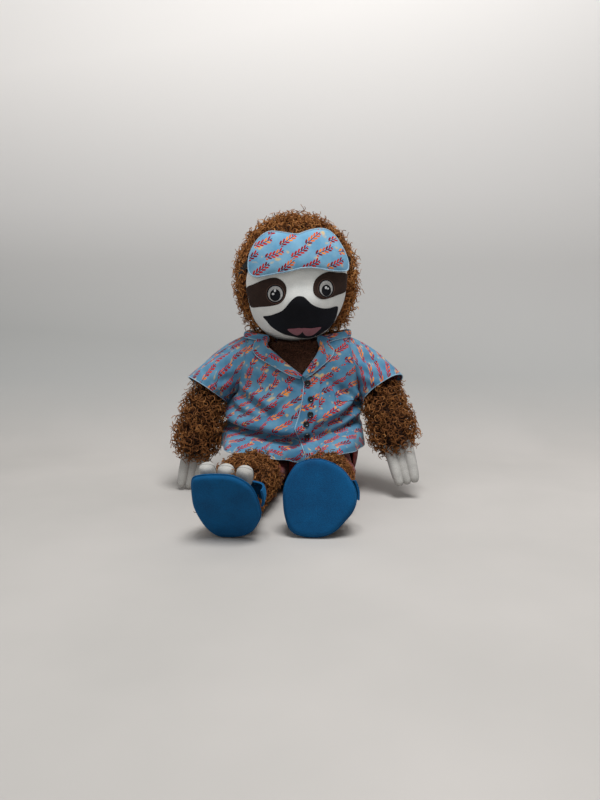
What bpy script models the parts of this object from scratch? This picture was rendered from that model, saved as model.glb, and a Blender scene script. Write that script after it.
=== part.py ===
"""A seated plush sloth in a shirt, shorts, slippers and a sleep mask.

Metres, +Z up. The sloth faces -Y, and left and right are its own, so left is +X.
The origin is on the floor, in the flat bottom of the seat, under the torso's middle.
Skins are shells of pile fabric, open at the seam where the next limb is sewn on,
with their stuffing inside.
"""
import math

import bmesh
import bpy
import numpy as np
from mathutils import Matrix, Vector

# Fits that every piece shares
GAP = 0.0003
FACET_GAP = 0.0005
FILLING_GAP = 0.0008
OVERRUN = 0.05
SIDES = {"left": 1, "right": -1}
SHARP_ANGLE = math.radians(40)

# Cloth and pile
SKIN = 0.0025
SHIRT_CLOTH = 0.0014
SHORTS_CLOTH = 0.0012

# Torso: a pear, flat at the seat and at the neck
TORSO_HEIGHT = 0.200
TORSO_HALF_WIDTH = 0.085
TORSO_HALF_DEPTH = 0.063
TORSO_SIDES = 26
PELLET_HEIGHT = 0.046
# Height, half width and half depth
TORSO_SHARES = (
    (0.00, 0.74, 0.74),
    (0.08, 0.93, 0.93),
    (0.22, 1.00, 1.00),
    (0.45, 0.98, 0.98),
    (0.65, 0.95, 0.94),
    (0.82, 0.92, 0.88),
    (0.93, 0.84, 0.78),
    (1.00, 0.57, 0.64),
)

# Neck: a stuffed ball sewn to the torso, which the head turns and nods on
NECK_RADIUS = 0.034
NECK_RISE = 0.008
NECK_SIDEWAYS = 0.003
NECK_RINGS = 16
NECK_SEGMENTS = 24
NECK_CLEARANCE = 0.0006

# Head: round about its own sideways axis, so that the mask can ride over it
HEAD_RISE = 0.081
HEAD_FORWARD = 0.010
HEAD_HALF_WIDTH = 0.081
HEAD_RADIUS = 0.084
HEAD_ROLL = math.radians(-4.5)
HEAD_YAW = math.radians(3)
HEAD_SEGMENTS = 24
HEAD_RINGS = 14
HEAD_INNER_SEGMENTS = 16
HEAD_INNER_RINGS = 10

# Face: a flat-lying dome with an embroidered look, built up in thin layers
FACE_HALF_WIDTH = 0.086
FACE_PROUD = 0.004
FACE_OUTLINE_RADIUS = 0.066
FACE_DROP = 0.012
FACE_LAYER = 0.0006
FACE_POINTS = 32
FACE_RINGS = 6
PATCH_POINTS = 14
# A layer's innermost ring, as a share of a ring's width from its middle
FIRST_RING = 0.3
EYE_LAYER = 0.0005
LAYER_GAP = 0.0004
SNOUT_HALF_WIDTH = 0.042
SNOUT_HALF_HEIGHT = 0.024
SNOUT_DROP = 0.050
SNOUT_PROUD = 0.009
EYE_SPREAD = 0.0325
EYE_SHIFT = 0.0034
EYE_DROP = 0.0187
EYE_RADIUS = 0.0095
PUPIL_RADIUS = 0.0065
PATCH_SPREAD = 0.040
PATCH_HALF_WIDTH = 0.025
PATCH_HALF_HEIGHT = 0.0145
PATCH_RINGS = 3
EYE_RINGS = 2
MUZZLE_HALF_WIDTH = 0.047
MUZZLE_HALF_HEIGHT = 0.0265
MUZZLE_DROP = 0.0485
MUZZLE_RINGS = 5
TONGUE_HALF_WIDTH = 0.020
TONGUE_HALF_HEIGHT = 0.007
TONGUE_DROP = 0.064
TONGUE_THICKNESS = 0.0015
TONGUE_RINGS = 3
# The muzzle's half outline, from the nose to the chin: sideways and up
MUZZLE_SHARES = (
    (0.00, 0.90), (0.16, 0.86), (0.34, 0.36), (0.62, 0.28), (0.86, 0.30), (1.00, 0.12),
    (0.92, -0.20), (0.72, -0.52), (0.46, -0.78), (0.20, -0.92), (0.00, -0.94),
)

# Sleep mask: pushed up on the forehead, with its band round the head
MASK_HALF_WIDTH = 0.066
MASK_CENTRE_RISE = 0.031
MASK_HALF_HEIGHT = 0.029
MASK_CLEARANCE = 0.0038
MASK_PADDING = 0.0022
MASK_CLOTH = 0.0016
MASK_BAND_TILT = math.radians(18)
MASK_BAND_WIDTH = 0.018
MASK_BAND_THICKNESS = 0.0012
MASK_BAND_LEAVES = 0.030
MASK_BAND_REACH = 0.0618
MASK_LAYER_GAP = 0.0008
MASK_BAND_STEPS = 22
MASK_RINGS = 5
# The mask's half outline, from the notch to the arch over the nose
MASK_SHARES = (
    (0.00, 0.78), (0.17, 0.90), (0.36, 0.98), (0.58, 0.90), (0.78, 0.66), (0.93, 0.26),
    (1.00, -0.28), (0.97, -0.74), (0.84, -0.96), (0.62, -1.00), (0.36, -0.90), (0.17, -0.78),
    (0.00, -0.72),
)

# Arms: sewn to a flat on each shoulder, which leans outwards as it goes down
SHOULDER_X = 0.072
SHOULDER_Z = 0.172
SHOULDER_TILT = math.radians(12)
ARM_SWING = {"left": math.radians(30), "right": math.radians(14)}
ARM_REACH = 0.041
ARM_LENGTH = 0.144
ARM_RADIUS = 0.034
ARM_SIDES = 14
# Out from the shoulder, down from it, and radius
ARM_SHARES = (
    (0.00, 0.00, 0.76),
    (0.34, 0.02, 0.76),
    (0.70, 0.12, 0.76),
    (0.95, 0.30, 0.74),
    (1.00, 0.46, 0.80),
    (1.00, 0.62, 0.97),
    (1.00, 0.80, 1.00),
    (1.00, 0.91, 0.86),
    (1.00, 0.975, 0.60),
    (1.00, 1.00, 0.32),
)
SLEEVE_REACH = 0.040
SLEEVE_DROP = 0.0465
SLEEVE_RADIUS = 0.037
SLEEVE_START = -0.012
SLEEVE_SIDES = 18
SLEEVE_SHARES = (
    (0.00, 0.00, 1.00),
    (0.38, 0.12, 0.96),
    (0.77, 0.50, 0.93),
    (1.00, 1.00, 0.90),
)

# Claws: three on each hand and foot, blunt and stuffed
CLAW_COUNT = 3
CLAW_SIDES = 8
# Along the claw, and radius
CLAW_SHARES = ((0.00, 0.92), (0.50, 1.00), (0.80, 0.84), (0.95, 0.50), (1.00, 0.20))
HAND_CLAW_RADIUS = 0.0056
HAND_CLAW_PITCH = 0.0116
HAND_CLAW_ROOT = 0.014
HAND_CLAW_REACH = 0.044
FOOT_CLAW_RADIUS = 0.0082
FOOT_CLAW_PITCH = 0.0176
FOOT_CLAW_LOW = 0.016
FOOT_CLAW_HIGH = 0.041
FOOT_CLAW_BEHIND = 0.0125

# Legs: a ball at the hip, which swings in a way cut out of the torso
HIP_X = 0.042
HIP_FORWARD = 0.036
HIP_RADIUS = 0.030
LEG_WAY_STEPS = 8
HIP_ANGLES = (math.radians(-58), math.radians(-30), 0)
LEG_FLOOR = 0.0045
LEG_LENGTH = 0.209
LEG_RADIUS = 0.0309
LEG_SIDES = 14
LEG_YAW = {"left": math.radians(-4.6), "right": math.radians(-8.6)}
# Along the leg, and radius
LEG_SHARES = ((0.15, 0.97), (0.27, 0.97), (0.45, 1.04), (0.60, 0.98), (0.69, 0.85), (0.75, 0.73))
FOOT_DEPTH = 0.040
FOOT_HALF_WIDTH = 0.036
FOOT_HALF_HEIGHT = 0.038
FOOT_PITCH = {"left": math.radians(-12), "right": math.radians(24)}
FOOT_ROLL = {"left": math.radians(-10), "right": math.radians(4)}
# Behind the sole, half width, half height and share of the foot's pitch
FOOT_SHARES = (
    (1.00, 0.78, 0.56, 0.00),
    (0.75, 0.80, 0.60, 0.45),
    (0.48, 0.92, 0.88, 0.80),
    (0.24, 1.00, 1.02, 1.00),
    (0.00, 1.00, 1.00, 1.00),
)

# Slippers: a padded sole with a strap over the instep
SOLE_HALF_WIDTH = 0.040
SOLE_HALF_HEIGHT = 0.042
SOLE_THICKNESS = 0.008
SOLE_EDGE = 0.0015
SOLE_SIDES = 24
SOLE_HEEL_SHARE = 0.84
SLIPPER_LIFT = {"left": 0.0025, "right": 0}
STRAP_LOW = 0.015
STRAP_WIDTH = 0.017
STRAP_HALF_WIDTH = 0.0345
STRAP_DEPTH = 0.0305
STRAP_THICKNESS = 0.0015
STRAP_POINTS = 16
STRAP_POWER = 4

# Shirt: three panels over the torso, open in a V at the neck
SHIRT_CLEARANCE = 0.0030
SHIRT_V_BOTTOM = 0.77 * TORSO_HEIGHT
SHIRT_V_ANGLE = math.radians(48)
SHIRT_EDGE_ANGLE = math.radians(-1.5)
SHIRT_SEAM = math.radians(0.5)
SHIRT_FOLD = 0.0040
SHIRT_FOLDS = 9
# Up from the hem over the thighs, as a share of the way to the V
SHIRT_STRAIGHT_SHARE = 0.22
ROW_SPACING = 0.004
FRONT_COLUMNS = 12
BACK_COLUMNS = 20
# Height of the hem between the thighs, beside them, and how far above the thighs it lies
HEM_ANGLES = (0, math.radians(12), math.radians(22), math.radians(72), math.radians(100))
HEM_MIDDLE = 0.052
HEM_BESIDE = 0.061
HEM_SIDE = 0.0550
HEM_CLEARANCE = 0.0018
COLLAR_RISE = 0.013
COLLAR_FLARE = 0.007
COLLAR_FRONT_SHARE = 0.10
COLLAR_POWER = 2
COLLAR_ANGLE = math.radians(34)
COLLAR_COLUMNS = 24
PLACKET_ABOVE_HEM = 0.006
PLACKET_BELOW_V = 0.002
PLACKET_FROM = math.radians(-1.2)
PLACKET_TO = math.radians(15)
TRIM_CLOTH = 0.0010
TRIM_ROWS = 6
PLACKET_COLUMNS = 4
POCKET_COLUMNS = 5
POCKET_LOW = 0.62 * TORSO_HEIGHT
POCKET_HIGH = 0.84 * TORSO_HEIGHT
POCKET_FROM = math.radians(32)
POCKET_TO = math.radians(58)
# Up the placket, from its lower end
BUTTON_SHARES = (0.925, 0.705, 0.48, 0.30, 0.13)
BUTTON_RADIUS = 0.0043
BUTTON_THICKNESS = 0.0018
BUTTON_ANGLE = math.radians(9)
BUTTON_SIDES = 12

# Shorts: a seat under the torso and a short leg on each thigh
SHORTS_TOP = 0.064
SHORTS_CLEARANCE = 0.0006
SHORTS_LEG_START = 0.004
SHORTS_LEG_LENGTH = 0.040
SHORTS_LEG_CLEARANCE = 0.0005

# Sizes that follow from those above
TORSO_FLOOR = SHORTS_CLOTH + GAP
NECK_HEIGHT = TORSO_HEIGHT + NECK_RISE
FACE_RADIUS = HEAD_RADIUS + FACE_PROUD
HIP_HEIGHT = LEG_FLOOR + HIP_RADIUS
WAY_RADIUS = HIP_RADIUS + SHORTS_LEG_CLEARANCE + SHORTS_CLOTH + FACET_GAP
HEM_OVER_LEG = HIP_HEIGHT + WAY_RADIUS + HEM_CLEARANCE
HEM_HEIGHTS = (HEM_MIDDLE, HEM_BESIDE, HEM_OVER_LEG, HEM_OVER_LEG, HEM_SIDE)
SHIRT_STRAIGHT = HEM_OVER_LEG + SHIRT_STRAIGHT_SHARE * (SHIRT_V_BOTTOM - HEM_OVER_LEG)
PLACKET_LOW = HEM_BESIDE + PLACKET_ABOVE_HEM
PLACKET_HIGH = SHIRT_V_BOTTOM - PLACKET_BELOW_V
FULL_TURN = 2 * math.pi
QUARTER_TURN = math.pi / 2

# Name, colour and roughness
COLOURS = {
    "fur": ((0.14, 0.055, 0.018, 1), 0.95),
    "chest_pile": ((0.045, 0.014, 0.008, 1), 0.9),
    "white_pile": ((0.62, 0.62, 0.60, 1), 0.85),
    "patch": ((0.05, 0.02, 0.012, 1), 0.85),
    "black": ((0.006, 0.006, 0.008, 1), 0.6),
    "tongue": ((0.32, 0.11, 0.14, 1), 0.8),
    "shirt": ((0.13, 0.36, 0.62, 1), 0.8),
    "shorts": ((0.24, 0.03, 0.02, 1), 0.85),
    "slipper": ((0.0, 0.13, 0.42, 1), 0.8),
    "claw": ((0.45, 0.44, 0.42, 1), 0.85),
    "elastic": ((0.02, 0.02, 0.02, 1), 0.8),
    "button": ((0.008, 0.008, 0.01, 1), 0.35),
    "filling": ((0.75, 0.75, 0.73, 1), 1),
    "pellets": ((0.55, 0.55, 0.58, 1), 0.6),
}


def clear_scene():
    for obj in list(bpy.data.objects):
        bpy.data.objects.remove(obj, do_unlink=True)


def make_materials():
    for name, (colour, roughness) in COLOURS.items():
        material = bpy.data.materials.new(name)
        material.use_nodes = True
        shader = material.node_tree.nodes["Principled BSDF"]
        shader.inputs["Base Color"].default_value = colour
        shader.inputs["Roughness"].default_value = roughness
        shader.inputs["Metallic"].default_value = 0


# Building blocks

def mesh_object(name, points, faces, material, parent=None):
    """An object with its faces turned outwards, in its parent's frame."""
    mesh = bpy.data.meshes.new(name)
    mesh.from_pydata([tuple(point) for point in points], [], faces)
    work = bmesh.new()
    work.from_mesh(mesh)
    bmesh.ops.recalc_face_normals(work, faces=work.faces)
    work.to_mesh(mesh)
    work.free()
    mesh.shade_smooth()
    mesh.set_sharp_from_angle(angle=SHARP_ANGLE)
    obj = bpy.data.objects.new(name, mesh)
    bpy.context.scene.collection.objects.link(obj)
    obj.parent = parent
    if material:
        mesh.materials.append(bpy.data.materials[material])
    return obj


def split_quad(points, a, b, c, d):
    """Two triangles across the shorter diagonal."""
    if (points[a] - points[c]).length <= (points[b] - points[d]).length:
        return [(a, b, c), (a, c, d)]
    return [(a, b, d), (b, c, d)]


def solid(name, loops, material=None, parent=None, ring=False):
    """Bridge closed loops of points. The ends get caps, or meet when ring is set.

    The sides are split into triangles alike, so that nested solids keep their clearance.
    """
    count = len(loops[0])
    points = [point for loop in loops for point in loop]
    steps = len(loops) if ring else len(loops) - 1
    faces = []
    for step in range(steps):
        here = step * count
        there = (step + 1) % len(loops) * count
        for side in range(count):
            after = (side + 1) % count
            faces += split_quad(points, here + side, here + after, there + after, there + side)
    if not ring:
        faces.append(tuple(range(count)))
        faces.append(tuple(range(len(points) - count, len(points))))
    return mesh_object(name, points, faces, material, parent)


def slab(name, inner, outer, material, parent=None):
    """A sheet with thickness, between two grids of points with the same rows."""
    rows = len(inner)
    columns = len(inner[0])
    points = [point for grid in (inner, outer) for row in grid for point in row]
    half = rows * columns

    def index(grid, row, column):
        return grid * half + row * columns + column

    faces = []
    for row in range(rows - 1):
        for column in range(columns - 1):
            for grid in (0, 1):
                faces += split_quad(
                    points,
                    index(grid, row, column),
                    index(grid, row, column + 1),
                    index(grid, row + 1, column + 1),
                    index(grid, row + 1, column),
                )
    edge = [(0, column) for column in range(columns - 1)]
    edge += [(row, columns - 1) for row in range(rows - 1)]
    edge += [(rows - 1, column) for column in range(columns - 1, 0, -1)]
    edge += [(row, 0) for row in range(rows - 1, 0, -1)]
    for here, there in zip(edge, edge[1:] + edge[:1]):
        faces.append((index(0, *here), index(0, *there), index(1, *there), index(1, *here)))
    return mesh_object(name, points, faces, material, parent)


def oval(centre, across, up, count):
    """A closed loop of points on the ellipse with these two half axes."""
    loop = []
    for step in range(count):
        angle = FULL_TURN * step / count
        loop.append(centre + across * math.cos(angle) + up * math.sin(angle))
    return loop


def guide(obj):
    """Keep an object as a cutter: it shapes others and isn't a piece itself."""
    obj.hide_render = True
    obj.display_type = "WIRE"
    return obj


def cut(obj, cutter):
    modifier = obj.modifiers.new(f"cut_{cutter.name}", "BOOLEAN")
    modifier.operation = "DIFFERENCE"
    modifier.solver = "EXACT"
    modifier.object = guide(cutter)
    return obj


def block(name, low, high, parent=None):
    """A box between two corners, in its parent's frame."""
    loops = []
    for z in (low[2], high[2]):
        corners = ((low[0], low[1]), (high[0], low[1]), (high[0], high[1]), (low[0], high[1]))
        loops.append([Vector((x, y, z)) for x, y in corners])
    return solid(name, loops, parent=parent)


def empty(name, location, rotation=None, parent=None):
    """A frame that pieces hang on, such as a joint's."""
    obj = bpy.data.objects.new(name, None)
    bpy.context.scene.collection.objects.link(obj)
    obj.parent = parent
    obj.matrix_local = Matrix.Translation(location) @ (rotation or Matrix.Identity(4))
    return obj


def turn(angle, axis):
    return Matrix.Rotation(angle, 4, axis)


# Torso

def torso_section(height):
    """Half width and half depth of the torso at a height."""
    levels, widths, depths = zip(*TORSO_SHARES)
    share = height / TORSO_HEIGHT
    width = TORSO_HALF_WIDTH * float(np.interp(share, levels, widths))
    depth = TORSO_HALF_DEPTH * float(np.interp(share, levels, depths))
    return width, depth


def torso_loops(low, high, grow):
    """Rings of the torso's outline from one height to another, low to high."""
    between = [TORSO_HEIGHT * row[0] for row in TORSO_SHARES]
    heights = [low] + [height for height in between if low < height < high] + [high]
    loops = []
    for height in heights:
        width, depth = torso_section(height)
        across = Vector((width + grow, 0, 0))
        loops.append(oval(Vector((0, 0, height)), across, Vector((0, depth + grow, 0)), TORSO_SIDES))
    return loops


def torso_point(height, angle, grow):
    """A point on the torso's side: the angle runs from the front towards its left."""
    width, depth = torso_section(height)
    return Vector(((width + grow) * math.sin(angle), -(depth + grow) * math.cos(angle), height))


def side_block(name, side, near, far, shoulder):
    """A box beside a shoulder's flat, between two distances out from it."""
    ends = sorted((SIDES[side] * near, SIDES[side] * far))
    low = (ends[0], -TORSO_HALF_WIDTH, -TORSO_HEIGHT)
    high = (ends[1], TORSO_HALF_WIDTH, OVERRUN)
    return block(name, low, high, shoulder)


def shoulder_block(side, grow, shoulders):
    """What lies outside a shoulder's flat, so that the torso stops there."""
    name = f"shoulder_way_{side}_{grow:.4f}"
    return side_block(name, side, -(GAP + grow), OVERRUN, shoulders[side])


def leg_way(side, grow, hips):
    """The room that a leg swings in, from level to straight down."""
    radius = WAY_RADIUS + grow
    far = TORSO_HEIGHT
    outline = [(-far, radius)]
    for step in range(LEG_WAY_STEPS + 1):
        angle = QUARTER_TURN * (1 - step / LEG_WAY_STEPS)
        outline.append((radius * math.cos(angle), radius * math.sin(angle)))
    outline.append((radius, -far))
    outline.append((-far, -far))
    loops = []
    for x in (-radius, radius):
        loops.append([Vector((x, y, z)) for y, z in outline])
    return solid(f"leg_way_{side}_{grow:.4f}", loops, parent=hips[side])


def cut_torso_flats(obj, grow, frames):
    """Take the shoulders' and the legs' room out of a solid of the torso."""
    for side in SIDES:
        cut(obj, shoulder_block(side, grow, frames["shoulders"]))
        cut(obj, leg_way(side, grow, frames["hips"]))
    return obj


def make_torso(frames):
    inner = -SKIN
    skin = solid("torso_skin", torso_loops(TORSO_FLOOR, TORSO_HEIGHT, 0), "chest_pile")
    cut_torso_flats(skin, 0, frames)
    cavity = solid(
        "torso_cavity",
        torso_loops(TORSO_FLOOR + SKIN, TORSO_HEIGHT, inner)
        + [[point + Vector((0, 0, OVERRUN)) for point in torso_loops(0, TORSO_HEIGHT, inner)[-1]]],
    )
    cut_torso_flats(cavity, SKIN, frames)
    cut(skin, cavity)
    filling = inner - FILLING_GAP
    bag_top = TORSO_FLOOR + PELLET_HEIGHT
    bag = solid("pellet_bag", torso_loops(TORSO_FLOOR + SKIN + GAP, bag_top, filling), "pellets")
    stuffing_loops = torso_loops(bag_top + GAP, TORSO_HEIGHT, filling)
    stuffing = solid("torso_stuffing", stuffing_loops, "filling")
    for obj in (bag, stuffing):
        cut_torso_flats(obj, SKIN + FILLING_GAP, frames)


# Neck and head

def ellipsoid_loops(centre, half_width, radius, rings, segments, grow=0):
    """Rings along X of a solid that is round about that axis."""
    loops = []
    for step in range(rings):
        angle = math.pi * (step + 0.5) / rings
        x = -(half_width + grow) * math.cos(angle)
        size = (radius + grow) * math.sin(angle)
        middle = centre + Vector((x, 0, 0))
        loops.append(oval(middle, Vector((0, size, 0)), Vector((0, 0, size)), segments))
    return loops


def neck_loops(grow=0):
    shape = (NECK_RADIUS, NECK_RADIUS, NECK_RINGS, NECK_SEGMENTS)
    return ellipsoid_loops(Vector(), *shape, grow)


def make_neck(neck):
    ball = solid("neck_core", neck_loops(), "fur", neck)
    low = (-OVERRUN, -OVERRUN, -OVERRUN)
    high = (OVERRUN, OVERRUN, GAP - NECK_RISE)
    cut(ball, block("neck_flat", low, high, neck))


def head_centre():
    return Vector((0, -HEAD_FORWARD, HEAD_RISE))


def make_head(head):
    centre = head_centre()
    shape = (HEAD_HALF_WIDTH, HEAD_RADIUS, HEAD_RINGS, HEAD_SEGMENTS)
    coarse = (HEAD_HALF_WIDTH, HEAD_RADIUS, HEAD_INNER_RINGS, HEAD_INNER_SEGMENTS)
    skin = solid("head_fur", ellipsoid_loops(centre, *shape), "fur", head)
    cavity = solid("head_cavity", ellipsoid_loops(centre, *coarse, -SKIN), parent=head)
    filling_loops = ellipsoid_loops(centre, *coarse, -SKIN - FILLING_GAP)
    stuffing = solid("head_stuffing", filling_loops, "filling", head)
    socket = solid("neck_socket", neck_loops(NECK_CLEARANCE), parent=head)
    cut(skin, cavity)
    cut(skin, socket)
    cut(stuffing, socket)


# Face

def snout(x, z):
    """How far the stuffed snout stands out of the face."""
    reach = (x / SNOUT_HALF_WIDTH) ** 2 + ((z + SNOUT_DROP) / SNOUT_HALF_HEIGHT) ** 2
    return SNOUT_PROUD * max(0, 1 - reach)


def face_point(x, z, grow, bump=0):
    """A point in front of the head's middle, on the face's dome grown by a distance."""
    radius = FACE_RADIUS + grow
    share = x / (FACE_HALF_WIDTH + grow)
    depth = math.sqrt(radius ** 2 * (1 - share ** 2) - z ** 2)
    return head_centre() + Vector((x, -depth - bump, z))


def face_patch(name, outline, centre, inner, outer, material, parent, rings, snouted=True):
    """A layer over the face, inside an outline, between two heights above the dome."""
    scales = [(ring + FIRST_RING) / (rings - 1 + FIRST_RING) for ring in range(rings)]
    loops = []
    for grow, order in ((inner, scales), (outer, scales[::-1])):
        for scale in order:
            loop = []
            for x, z in outline:
                px = centre[0] + (x - centre[0]) * scale
                pz = centre[1] + (z - centre[1]) * scale
                loop.append(face_point(px, pz, grow, snout(px, pz) if snouted else 0))
            loops.append(loop)
    return solid(name, loops, material, parent)


def round_outline(centre, half_width, half_height, count):
    loop = oval(Vector(centre), Vector((half_width, 0)), Vector((0, half_height)), count)
    return [(point.x, point.y) for point in loop]


def mirrored_outline(shares, half_width, half_height, rise):
    """A whole outline from its half: sideways and up shares, top to bottom."""
    right = [(x * half_width, rise + z * half_height) for x, z in shares]
    left = [(-x, z) for x, z in right[-2:0:-1]]
    return right + left


def make_face(head):
    middle = (0, -FACE_DROP)
    outline = round_outline(middle, FACE_OUTLINE_RADIUS, FACE_OUTLINE_RADIUS, FACE_POINTS)
    base = FACET_GAP - FACE_PROUD
    panel = face_patch("face_panel", outline, middle, base, 0, "white_pile", head, FACE_RINGS)
    under = face_patch("face_front", outline, middle, base, GAP, None, head, FACE_RINGS)
    backing = solid(
        "face_backing",
        ellipsoid_loops(head_centre(), HEAD_HALF_WIDTH, HEAD_RADIUS, HEAD_RINGS, HEAD_SEGMENTS, FACET_GAP),
        parent=head,
    )
    cut(panel, backing)
    patch_high = LAYER_GAP + FACE_LAYER
    eye_low = patch_high + LAYER_GAP
    eye_high = eye_low + EYE_LAYER
    pupil_low = eye_high + LAYER_GAP
    pupil_high = pupil_low + EYE_LAYER
    for side, sign in SIDES.items():
        eye = (sign * EYE_SPREAD + EYE_SHIFT, -EYE_DROP)
        patch = (sign * PATCH_SPREAD, -EYE_DROP)
        layers = (
            ("eye_patch", patch, PATCH_HALF_WIDTH, PATCH_HALF_HEIGHT, 0, patch_high, "patch", PATCH_RINGS),
            ("eye", eye, EYE_RADIUS, EYE_RADIUS, eye_low, eye_high, "white_pile", EYE_RINGS),
            ("pupil", eye, PUPIL_RADIUS, PUPIL_RADIUS, pupil_low, pupil_high, "black", EYE_RINGS),
        )
        for name, centre, width, height, low, high, material, rings in layers:
            outline = round_outline(centre, width, height, PATCH_POINTS)
            layer = face_patch(f"{name}_{side}", outline, centre, low, high, material, head, rings)
            if low == 0:
                cut(layer, under)
    outline = mirrored_outline(MUZZLE_SHARES, MUZZLE_HALF_WIDTH, MUZZLE_HALF_HEIGHT, -MUZZLE_DROP)
    muzzle_centre = (0, -MUZZLE_DROP)
    muzzle = face_patch("muzzle", outline, muzzle_centre, 0, patch_high, "black", head, MUZZLE_RINGS)
    cut(muzzle, under)
    muzzle_top = patch_high + GAP
    low = -FACE_PROUD
    top = face_patch("muzzle_front", outline, muzzle_centre, low, muzzle_top, None, head, MUZZLE_RINGS)
    tongue_centre = (0, -TONGUE_DROP)
    outline = round_outline(tongue_centre, TONGUE_HALF_WIDTH, TONGUE_HALF_HEIGHT, PATCH_POINTS)
    tongue_high = patch_high + TONGUE_THICKNESS
    tongue = face_patch("tongue", outline, tongue_centre, 0, tongue_high, "tongue", head, TONGUE_RINGS)
    cut(tongue, top)


# Sleep mask

def make_mask(mask):
    """Two layers on the forehead and a band, in the frame of the mask's hinge."""
    outline = mirrored_outline(MASK_SHARES, MASK_HALF_WIDTH, MASK_HALF_HEIGHT, MASK_CENTRE_RISE)
    centre = (0, MASK_CENTRE_RISE)
    cloth_low = MASK_CLEARANCE + MASK_PADDING + MASK_LAYER_GAP
    layers = (
        ("mask_padding", MASK_CLEARANCE, MASK_CLEARANCE + MASK_PADDING, "filling"),
        ("mask_front", cloth_low, cloth_low + MASK_CLOTH, "shirt"),
    )
    for name, low, high, material in layers:
        piece = face_patch(name, outline, centre, low, high, material, mask, MASK_RINGS, snouted=False)
        piece.data.transform(Matrix.Translation(-head_centre()))
    band = slab("mask_strap", *mask_band_grids(), "elastic", mask)
    band.data.transform(turn(-MASK_BAND_TILT, "X"))


def mask_band_grids():
    """The band round the back of the head, in its own level plane, as two grids."""
    half = MASK_BAND_WIDTH / 2
    inner = []
    outer = []
    for grow, rows in ((FACET_GAP, inner), (FACET_GAP + MASK_BAND_THICKNESS, outer)):
        path = mask_band_path(grow)
        for height in (-half, half):
            rows.append([Vector((x, y, height)) for x, y in path])
    return inner, outer


def mask_band_path(grow):
    """The band's path: round the head, and straight off it to the mask's ends."""
    width = HEAD_HALF_WIDTH + grow
    radius = HEAD_RADIUS + grow
    leave = math.asin(MASK_BAND_LEAVES / radius)
    path = []
    for step in range(MASK_BAND_STEPS + 1):
        angle = -leave + (math.pi + 2 * leave) * step / MASK_BAND_STEPS
        path.append((width * math.cos(angle), radius * math.sin(angle)))
    x, y = path[0]
    slope = (width / radius) ** 2 * y / x
    tip = (x + slope * (MASK_BAND_REACH + y), -MASK_BAND_REACH)
    return [tip] + path + [(-tip[0], tip[1])]


# Arms

def bent_loops(shares, reach, length, radius, sides, sign, grow=0, start=0):
    """Rings along a limb that leaves the shoulder sideways and turns down."""
    spine = [Vector((out * reach, 0, -down * length)) for out, down, size in shares]
    last = len(spine) - 1
    loops = []
    for step, (out, down, size) in enumerate(shares):
        centre = spine[step].copy()
        along = (spine[min(step + 1, last)] - spine[max(step - 1, 0)]).normalized()
        if step == 0:
            along = Vector((1, 0, 0))
            centre += along * start
        if step == last:
            centre += along * grow
        up = Vector((-along.z, 0, along.x))
        girth = radius * size + grow
        loop = oval(centre, Vector((0, girth, 0)), up * girth, sides)
        loops.append([Vector((sign * point.x, point.y, point.z)) for point in loop])
    return loops


def arm_loops(side, grow=0, start=GAP):
    sign = SIDES[side]
    return bent_loops(ARM_SHARES, ARM_REACH, ARM_LENGTH, ARM_RADIUS, ARM_SIDES, sign, grow, start)


def claw_loops(root, along, radius, length):
    """A blunt claw: rings from its root, with its tip drawn in."""
    across = along.orthogonal().normalized()
    up = along.cross(across)
    loops = []
    for share, girth in CLAW_SHARES:
        size = radius * girth
        loops.append(oval(root + along * length * share, across * size, up * size, CLAW_SIDES))
    return loops


def make_arm(side, shoulder):
    sign = SIDES[side]
    outer = arm_loops(side)
    inner = arm_loops(side, -SKIN)
    solid(f"arm_{side}_fur", inner[::-1] + outer, "fur", shoulder)
    solid(f"arm_{side}_stuffing", arm_loops(side, -SKIN - FILLING_GAP), "filling", shoulder)
    rings = {}
    for name, grow in (("outer", 0), ("inner", -SHIRT_CLOTH)):
        rings[name] = bent_loops(
            SLEEVE_SHARES, SLEEVE_REACH, SLEEVE_DROP, SLEEVE_RADIUS, SLEEVE_SIDES, sign, grow, SLEEVE_START)
    sleeve = solid(
        f"sleeve_{side}", rings["inner"][::-1] + rings["outer"], "shirt", shoulder, ring=True)
    cut(sleeve, side_block(f"torso_side_{side}", side, GAP, -OVERRUN, shoulder))
    palm = solid(f"arm_{side}_end", arm_loops(side, GAP), parent=shoulder)
    for step in range(CLAW_COUNT):
        offset = (step - (CLAW_COUNT - 1) / 2) * HAND_CLAW_PITCH
        root = Vector((sign * (ARM_REACH + offset), 0, HAND_CLAW_ROOT - ARM_LENGTH))
        length = HAND_CLAW_ROOT + HAND_CLAW_REACH
        loops = claw_loops(root, Vector((0, 0, -1)), HAND_CLAW_RADIUS, length)
        cut(solid(f"hand_claw_{side}_{step + 1}", loops, "claw", shoulder), palm)


# Legs

def foot_frame(side):
    """The foot in the hip's frame: up its sole is Z, and out of the sole is -Y."""
    pitch = FOOT_PITCH[side]
    lift = SOLE_THICKNESS * max(0, math.sin(pitch))
    heel = Vector((0, -LEG_LENGTH, LEG_FLOOR + lift - HIP_HEIGHT))
    middle = heel + turn(pitch, "X").to_3x3() @ Vector((0, 0, FOOT_HALF_HEIGHT))
    return middle, pitch, lift


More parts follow.
